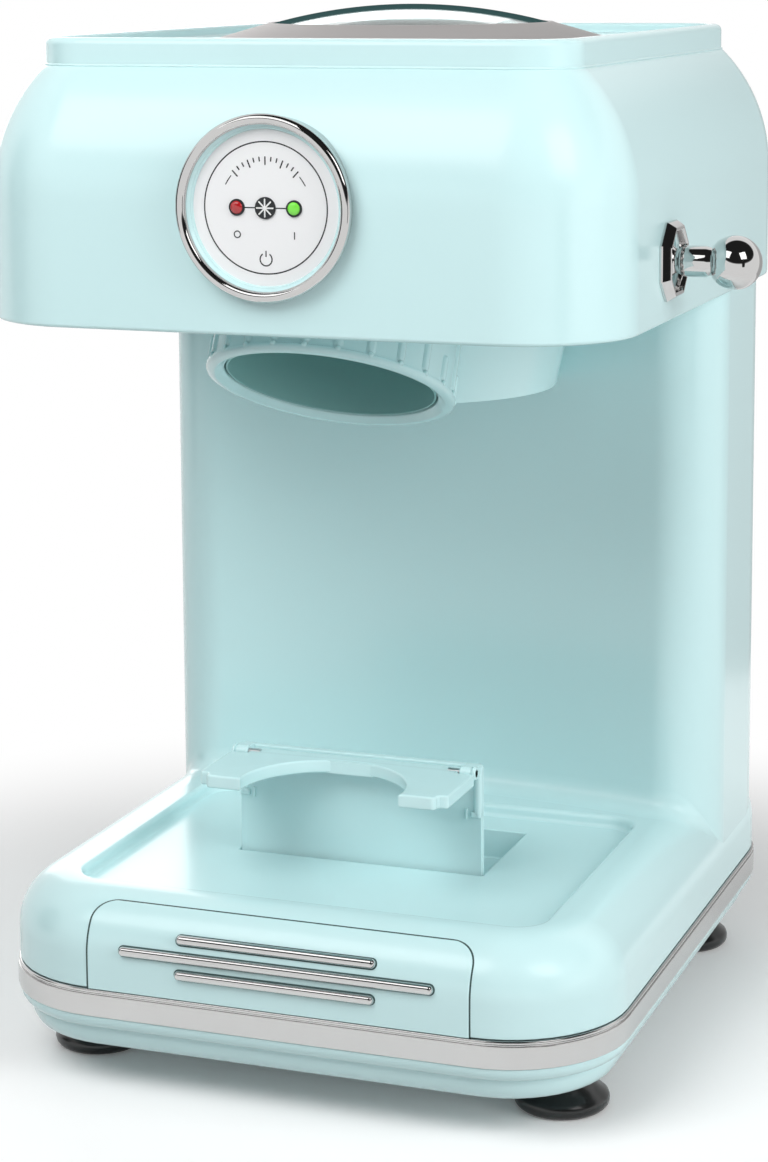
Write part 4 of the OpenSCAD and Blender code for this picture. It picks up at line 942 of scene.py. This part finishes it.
def chute_point(turn, radius, along, ceiling):
    """A point on a round skin about the chute's axis, kept below a height."""
    foot = Vector((radius * math.cos(turn), radius * math.sin(turn), 0))
    room = (ceiling - (CHUTE_PLACE @ foot).z) / math.cos(math.radians(CHUTE_TILT))
    foot.z = min(along, room)
    return CHUTE_PLACE @ foot


def rib_height(index, across, along, start):
    """Height of a rib over the collar's skin. Every other rib is short, and both ends are round."""
    half_w = 1.15
    ends = start + half_w, start + (7 if index % 2 else 80)
    past = max(ends[0] - along, along - ends[1], 0)
    return 0.85 * smooth_step((half_w + 0.3 - math.hypot(across, past)) / 0.6)


def chute_collar():
    per_rib = 20
    columns = COLLAR_RIBS * per_rib
    lip = 2.6
    groove_r = COLLAR_R - 0.85
    far = 60
    ceiling = HEAD_LOW.z + 0.8
    bevel = 1.7
    crest = MOUTH_R + 2.6
    inner = [(MOUTH_R + 0.05, far), (MOUTH_R, bevel + 0.4), (MOUTH_R + 0.1, bevel + 0.1),
             (MOUTH_R + 0.35, bevel - 0.15), (crest - 0.3, 0.2), (crest, 0.04), (crest + 0.35, 0)]
    front = [(COLLAR_R - 1.9, 0), (COLLAR_R - 1.0, 0.2), (COLLAR_R - 0.4, 0.6), (COLLAR_R, 1.3),
             (COLLAR_R, lip - 0.5), (COLLAR_R - 0.2, lip - 0.15)]
    side = [(groove_r, lip + 0.1 + 0.35 * i) for i in range(28)] + [(groove_r, far)]
    rings = []
    for radius, along in inner + front + side:
        ring = []
        for i in range(columns):
            across = ((i % per_rib) / per_rib - 0.5) * math.tau * COLLAR_R / COLLAR_RIBS
            rib = rib_height(i // per_rib, across, along, lip + 0.5) if radius == groove_r else 0
            ring.append(chute_point(math.tau * i / columns, radius + rib, along, ceiling))
        rings.append(ring)
    shape = Shape().loft(rings + rings[:1])
    stud = [(0.95 * math.sin(a), 0.6 * math.cos(a)) for a in turns(0, 180, 9)]
    for i in range(COLLAR_RIBS):
        turn = math.tau * (i + 0.5) / COLLAR_RIBS
        out = Matrix.Rotation(turn, 4, "Z") @ shift(COLLAR_R - 0.15, 0, lip - 0.2)
        shape.lathe(stud, CHUTE_PLACE @ out @ Matrix.Rotation(math.radians(90), 4, "Y"), 16)
    skin("chute_collar", shape, AQUA)


def ice_chute():
    """The throat behind the collar's mouth, in a darker aqua painted for the shade inside the chute."""
    columns = TURN
    outer_r = MOUTH_R - 0.4
    bore_r = outer_r - 0.8
    start = 2.3
    far = 60
    ceiling = HEAD_LOW.z + 3
    section = [(outer_r, far, ceiling), (outer_r, start + 0.2, ceiling), (outer_r - 0.2, start, ceiling),
               (bore_r + 0.2, start, ceiling), (bore_r, start + 0.3, ceiling), (bore_r, far, ceiling - 1.5)]
    rings = []
    for radius, along, top in section:
        rings.append([chute_point(math.tau * i / columns, radius, along, top) for i in range(columns)])
    piece("ice_chute_throat", Shape().loft(rings, True), CHUTE_SHADE, replaced=["ice_chute"])


# Cone holder


def holder_wall():
    hinge = joint_mm("holder_fold")
    axis = joint_mm("shelf_fold")
    half = WALL_HIGH.x
    front = hinge.y - 2
    top = WALL_HIGH.z - 1.2
    recess = 1.0
    round_r = 1.5
    outline = [(-half, hinge.z), (half, hinge.z)] + arc(half - round_r, top - round_r, round_r, 0, 90, 5)
    outline += arc(round_r - half, top - round_r, round_r, 90, 180, 5)
    shape = Shape().plate(outline, [], -4, -recess, 0.5, shift(0, front, 0) @ FORWARDS)
    hinge_bar = [(0, -half), (1.6, -half), (2, 0.4 - half), (2, half - 0.4), (1.6, half), (0, half)]
    shape.lathe(hinge_bar, shift(0, hinge.y, hinge.z) @ SIDEWAYS, 32)
    barrel = 5.4
    bead_r = 1.35
    bead_z = top - 17
    for side in (-1, 1):
        at = shift(side * (half - barrel / 2), axis.y, axis.z) @ SIDEWAYS
        end = side * barrel / 2
        knob = [(0, -end), (1.7, -end), (2.1, -end + side * 0.4), (2.1, end - side * 1.5),
                (1.75, end - side * 1.3), (1.75, end - side * 1.0), (2.25, end - side * 0.8),
                (2.25, end - side * 0.3), (1.9, end), (0, end)]
        shape.lathe(knob, at, 32)
        web = rounded_outline(barrel / 2 - 0.2, (front - axis.y) / 2 + 1, 0.6)
        block = shift(side * (half - barrel / 2), (front + axis.y) / 2 + 0.6, axis.z)
        shape.plate(web, [], -1.6, 1.6, 0.4, block)
        bead = shift(side * (half - bead_r), front + bead_r, 0)
        shape.plate(rounded_outline(bead_r, bead_r, bead_r - 0.1), [], bead_z, axis.z, 0.5, bead)
        shape.plate(rounded_outline(bead_r + 0.5, bead_r, 0.9), [], bead_z - 0.4, bead_z + 1.7, 0.5,
                    shift(side * (half - bead_r - 0.5), front + bead_r, 0))
        shape.plate(rounded_outline(0.45, 0.8, 0.4), [], bead_z - 1, bead_z + 2.6, 0.3,
                    shift(side * (half - 5), front + recess, 0))
    skin("holder_wall", shape, AQUA, "holder_wall")


def holder_shelf():
    axis = joint_mm("shelf_fold")
    half = SHELF_HIGH.x
    back = axis.y - 2.9
    knuckle = 36.4
    front = SHELF_LOW.y
    step = 3.3
    tab = 3.0
    notch_r = 27
    notch_y = axis.y - 2 - notch_r
    mouth = notch_y - front
    turn = math.degrees(math.asin(mouth / notch_r))
    right = arc(half - step - 1.6, front + 1.6, 1.6, -90, 0, 5)
    right += [(half - step, front + tab - 0.6), (half - step + 0.6, front + tab)]
    right += arc(half - 1.2, front + tab + 1.2, 1.2, -90, 0, 5) + [(half, back), (knuckle, back)]
    right += [(knuckle, axis.y)]
    left = [(-x, y) for x, y in reversed(right)]
    notch = arc(0, notch_y, notch_r, 180 + turn, -turn, 2 * TURN // 3)
    outline = right + left + notch
    shape = Shape().plate(outline, [], SHELF_LOW.z, SHELF_HIGH.z, 0.7)
    low_r = axis.z - SHELF_LOW.z
    knuckle_arc = [(-low_r + 0.8, 0.55), (-low_r + 0.8, -low_r)] + arc(0, 0, low_r, -90, 8, ARC)
    shape.plate(knuckle_arc, [], -knuckle, knuckle, 0.3, Matrix.Translation(axis) @ SIDEWAYS)
    skin("holder_shelf", shape, AQUA, "holder_shelf")


# Back


def back_place(y):
    """Looks out of the back: local Z points backwards, local Y up."""
    return shift(0, y, 0) @ BACKWARDS


def rear_cover():
    middle = (COVER_LOW.z + COVER_HIGH.z) / 2
    half_h = (COVER_HIGH.z - COVER_LOW.z) / 2
    vents = 9
    vent_x = 39
    vent_h = 2
    pitch = 2 * half_h / (vents + 3)
    gland = ring_outline(4.1, 40, -GLAND_AT.x, GLAND_AT.z)
    outline = rounded_outline(COVER_HIGH.x, half_h, 6, (0, middle))
    heights = [middle + pitch * (i - (vents - 1) / 2) for i in range(vents)]
    slots = [rounded_outline(vent_x, vent_h, vent_h - 0.05, (0, height), 6) for height in heights]
    thick = COVER_HIGH.y - COVER_LOW.y
    shape = Shape().plate(outline, slots + [gland], 0, thick, 0.7, back_place(COVER_LOW.y))
    skin("rear_cover", shape, AQUA)
    board = rounded_outline(vent_x + 3, half_h - 24, 3, (0, middle))
    piece("vent_mesh", Shape().plate(board, [], -0.1, 0.15, 0.05, back_place(COVER_LOW.y), 1), BLACK)


def cross_screw(shape, place, head_r, head_h):
    """A round screw head with a cross cut into it."""
    arm = head_r * 0.58
    width = head_r * 0.13
    cross = []
    for turn in range(4):
        cross += turned([(arm, -width), (arm, width), (width, width)], 90 * turn)
    shape.plate(ring_outline(head_r, 40), [cross], 0, head_h, min(0.5, head_h / 3), place)
    shape.lathe([(0, 0.05), (head_r - 0.6, 0.05), (head_r - 0.6, head_h * 0.4), (0, head_h * 0.4)], place, 40)


def cover_screws():
    low, high = box_mm("cover_screws")
    head_r = 3.4
    shape = Shape()
    for x in (low.x + head_r, high.x - head_r):
        for z in (low.z + head_r, high.z - head_r):
            place = back_place(high.y - 2) @ shift(-x, z, 0)
            cross_screw(shape, place, head_r, 2)
    piece("cover_screw_heads", shape, STEEL, replaced=["cover_screws"])


def cord_gland():
    place = back_place(GLAND_LOW.y) @ shift(-GLAND_AT.x, GLAND_AT.z, 0)
    depth = GLAND_HIGH.y - GLAND_LOW.y
    flange = (GLAND_HIGH.x - GLAND_LOW.x) / 2
    profile = [(3.2, 0), (4, 0), (4, depth - 2), (flange - 0.4, depth - 2), (flange, depth - 1.6),
               (flange, depth - 0.8), (flange - 0.8, depth), (4, depth), (3.5, depth - 0.15),
               (3.2, depth - 0.6)]
    skin("cord_gland", Shape().lathe(profile, place, 48, True), BLACK)


def finish_frame_nodes():
    """Gives each frame node that stays its own procedural finish."""
    finishes = {
        AQUA: ["head_floor", "cutter_housing"],
        WHITE: ["hopper", "gauge_cup", "terminal_block"],
        STEEL: ["foot_screws", "pan_screws", "head_screws", "cutter_shaft", "cutter_blades", "blade_screws",
                "disc_nut", "motor_bracket", "motor_can", "motor_screws", "motor_shaft", "cutter_disc",
                "lever_pin", "holder_pins", "shelf_pins", "lever_bracket"],
        BRASS: ["upper_bush", "lower_bush", "pinion"],
        BLACK: ["drive_gear", "micro_switch", "wire_harness"],
        RUBBER: ["lid_gasket"],
        BOARD: ["lamp_board"],
    }
    for material, names in finishes.items():
        for name in names:
            mesh = frame["nodes"][name].data
            mesh.materials.clear()
            mesh.materials.append(material)


# Stage


CAMERA_AT = Vector((319.21, -885.81, 354.64))
CAMERA_YAW = 0.3531
CAMERA_PITCH = 0.1497
CAMERA_ROLL = -0.0059
CAMERA_LENS = 87.6
CAMERA_SHIFT = -0.17
CAMERA_SENSOR = 36
AIM = Vector((0, 0, 200))
HEAD_AIM = Vector((0, -118, 290))


def camera():
    ahead = Vector((-math.sin(CAMERA_YAW), math.cos(CAMERA_YAW), 0))
    forward = ahead * math.cos(CAMERA_PITCH) - Vector((0, 0, math.sin(CAMERA_PITCH)))
    level = Vector((math.cos(CAMERA_YAW), math.sin(CAMERA_YAW), 0))
    upright = level.cross(forward)
    right = level * math.cos(CAMERA_ROLL) + upright * math.sin(CAMERA_ROLL)
    up = upright * math.cos(CAMERA_ROLL) - level * math.sin(CAMERA_ROLL)
    data = bpy.data.cameras.new("camera")
    data.lens = CAMERA_LENS
    data.sensor_width = CAMERA_SENSOR
    data.shift_y = CAMERA_SHIFT
    obj = add_object("camera", data)
    turn = Matrix((right, up, -forward)).transposed().to_4x4()
    obj.matrix_world = Matrix.Translation(CAMERA_AT * MM) @ turn
    bpy.context.scene.camera = obj


def softbox(name, way, distance, size, power, target=AIM, mirrored=True):
    """A rectangular lamp that faces a point of the object. Mirrors see it unless it is a plain fill."""
    data = bpy.data.lights.new(name, "AREA")
    data.shape = "RECTANGLE"
    data.size = size[0] * MM
    data.size_y = size[1] * MM
    data.energy = power
    obj = add_object(name, data)
    way = Vector(way).normalized()
    obj.location = (target + way * distance) * MM
    obj.rotation_euler = way.to_track_quat("Z", "Y").to_euler()
    obj.visible_glossy = mirrored


def seen_directly(tree):
    """1 for rays from the camera, mirrors and glass, which see the plain background."""
    rays = add_node(tree, "LightPath").outputs
    value = rays["Is Camera Ray"]
    for kind in ("Is Glossy Ray", "Is Transmission Ray"):
        value = number_math(tree, "MAXIMUM", value, rays[kind])
    return value


def world(level):
    scene_world = bpy.data.worlds.new("studio")
    bpy.context.scene.world = scene_world
    scene_world.use_nodes = True
    tree = scene_world.node_tree
    light = tree.nodes["Background"]
    light.inputs["Color"].default_value = (1, 1, 1, 1)
    light.inputs["Strength"].default_value = level
    plain = add_node(tree, "Background", {"Color": (1, 1, 1, 1)}).outputs["Background"]
    show(tree, mix_shaders(tree, seen_directly(tree), light.outputs["Background"], plain), "World Output")


def flat_card(name, finish, half_w, half_h):
    """A flat sheet of the stage. Returns it with its material's node tree, which has no shader yet."""
    mesh = bpy.data.meshes.new(name)
    corners = [(-half_w, -half_h, 0), (half_w, -half_h, 0), (half_w, half_h, 0), (-half_w, half_h, 0)]
    mesh.from_pydata([Vector(corner) * MM for corner in corners], [], [(0, 1, 2, 3)])
    material = bpy.data.materials.new(finish)
    material.use_nodes = True
    tree = material.node_tree
    tree.nodes.remove(tree.nodes["Principled BSDF"])
    mesh.materials.append(material)
    return add_object(name, mesh), tree


def floor(own_white):
    """A pale floor that keeps the object's shadow, and turns plain white away from the object."""
    half = 6000
    near = 170
    far = 350
    obj, tree = flat_card("floor", "floor_white", half, half)
    matt = add_node(tree, "BsdfDiffuse", {"Color": (0.98, 0.98, 0.98, 1)}).outputs["BSDF"]
    bounce = add_node(tree, "BsdfDiffuse", {"Color": (0.6, 0.6, 0.6, 1)}).outputs["BSDF"]
    glow = add_node(tree, "Emission", {"Strength": own_white}).outputs["Emission"]
    plain = add_node(tree, "Emission").outputs["Emission"]
    near_floor = add_node(tree, "AddShader", {0: matt, 1: glow}).outputs["Shader"]
    fade = ease(tree, length_of(tree, object_place(tree)), near * MM, far * MM)
    whole = mix_shaders(tree, fade, near_floor, plain)
    show(tree, mix_shaders(tree, seen_directly(tree), bounce, whole))


def dark_card(name, way, distance, size, level=0.02, edge=0.6):
    """A soft-edged dark card that only mirrors see, for contrast in the chrome."""
    half_w = size[0] / 2
    half_h = size[1] / 2
    obj, tree = flat_card(name, name + "_grey", half_w, half_h)
    grey = add_node(tree, "Emission", {"Strength": level}).outputs["Emission"]
    through = add_node(tree, "BsdfTransparent").outputs["BSDF"]
    even = product(tree, object_place(tree), (1 / (half_w * MM), 1 / (half_h * MM), 0))
    show(tree, mix_shaders(tree, ease(tree, length_of(tree, even), edge, 1), grey, through))
    way = Vector(way).normalized()
    turn = way.to_track_quat("Z", "Y").to_matrix().to_4x4()
    obj.matrix_world = Matrix.Translation((AIM + way * distance) * MM) @ turn
    for rays in ("camera", "diffuse", "transmission", "shadow"):
        setattr(obj, "visible_" + rays, False)


def stage():
    bpy.context.scene.view_settings.view_transform = "Standard"
    camera()
    world(level=0.19)
    floor(own_white=0.06)
    softbox("key", (-0.3, -0.6, 0.68), 800, (600, 700), 4.3, HEAD_AIM, mirrored=False)
    softbox("side", (0.95, -0.25, 0.2), 950, (600, 800), 6.6, Vector((104, 0, 280)), mirrored=False)
    softbox("front", (0.1, -0.85, 0.5), 1400, (800, 800), 1.6, mirrored=False)
    softbox("glint_left", (-0.3, -0.6, 0.58), 800, (560, 440), 1.5, HEAD_AIM)
    softbox("glint_right", (0.81, -0.59, 0.6), 900, (400, 450), 1.3, Vector((104, -60, 290)))
    softbox("back", (-0.5, 0.85, 0.25), 1500, (900, 900), 4)
    dark_card("card_front", (0.35, -0.5, 0.9), 1500, (6000, 4600), edge=0.8)
    dark_card("card_left", (-0.95, -0.3, 0.1), 1100, (700, 900))
    dark_card("card_right", (0.75, -0.62, 0.05), 1200, (300, 1000))
    dark_card("card_back", (0.42, 0.9, -0.15), 520, (800, 900), 0.5)


def main():
    base_pan()
    chrome_band()
    for side in ("front_left", "front_right", "rear_left", "rear_right"):
        foot("foot_" + side)
    body_skin()
    front_panel()
    panel_seam()
    front_trim()
    head_shell()
    top_frame()
    lid()
    gauge_bezel()
    gauge_dial()
    lamp("red_lamp", -1, RED)
    lamp("green_lamp", 1, GREEN)
    lever_plate()
    lever()
    chute_collar()
    ice_chute()
    holder_wall()
    holder_shelf()
    rear_cover()
    cover_screws()
    cord_gland()
    finish_frame_nodes()
    stage()


main()
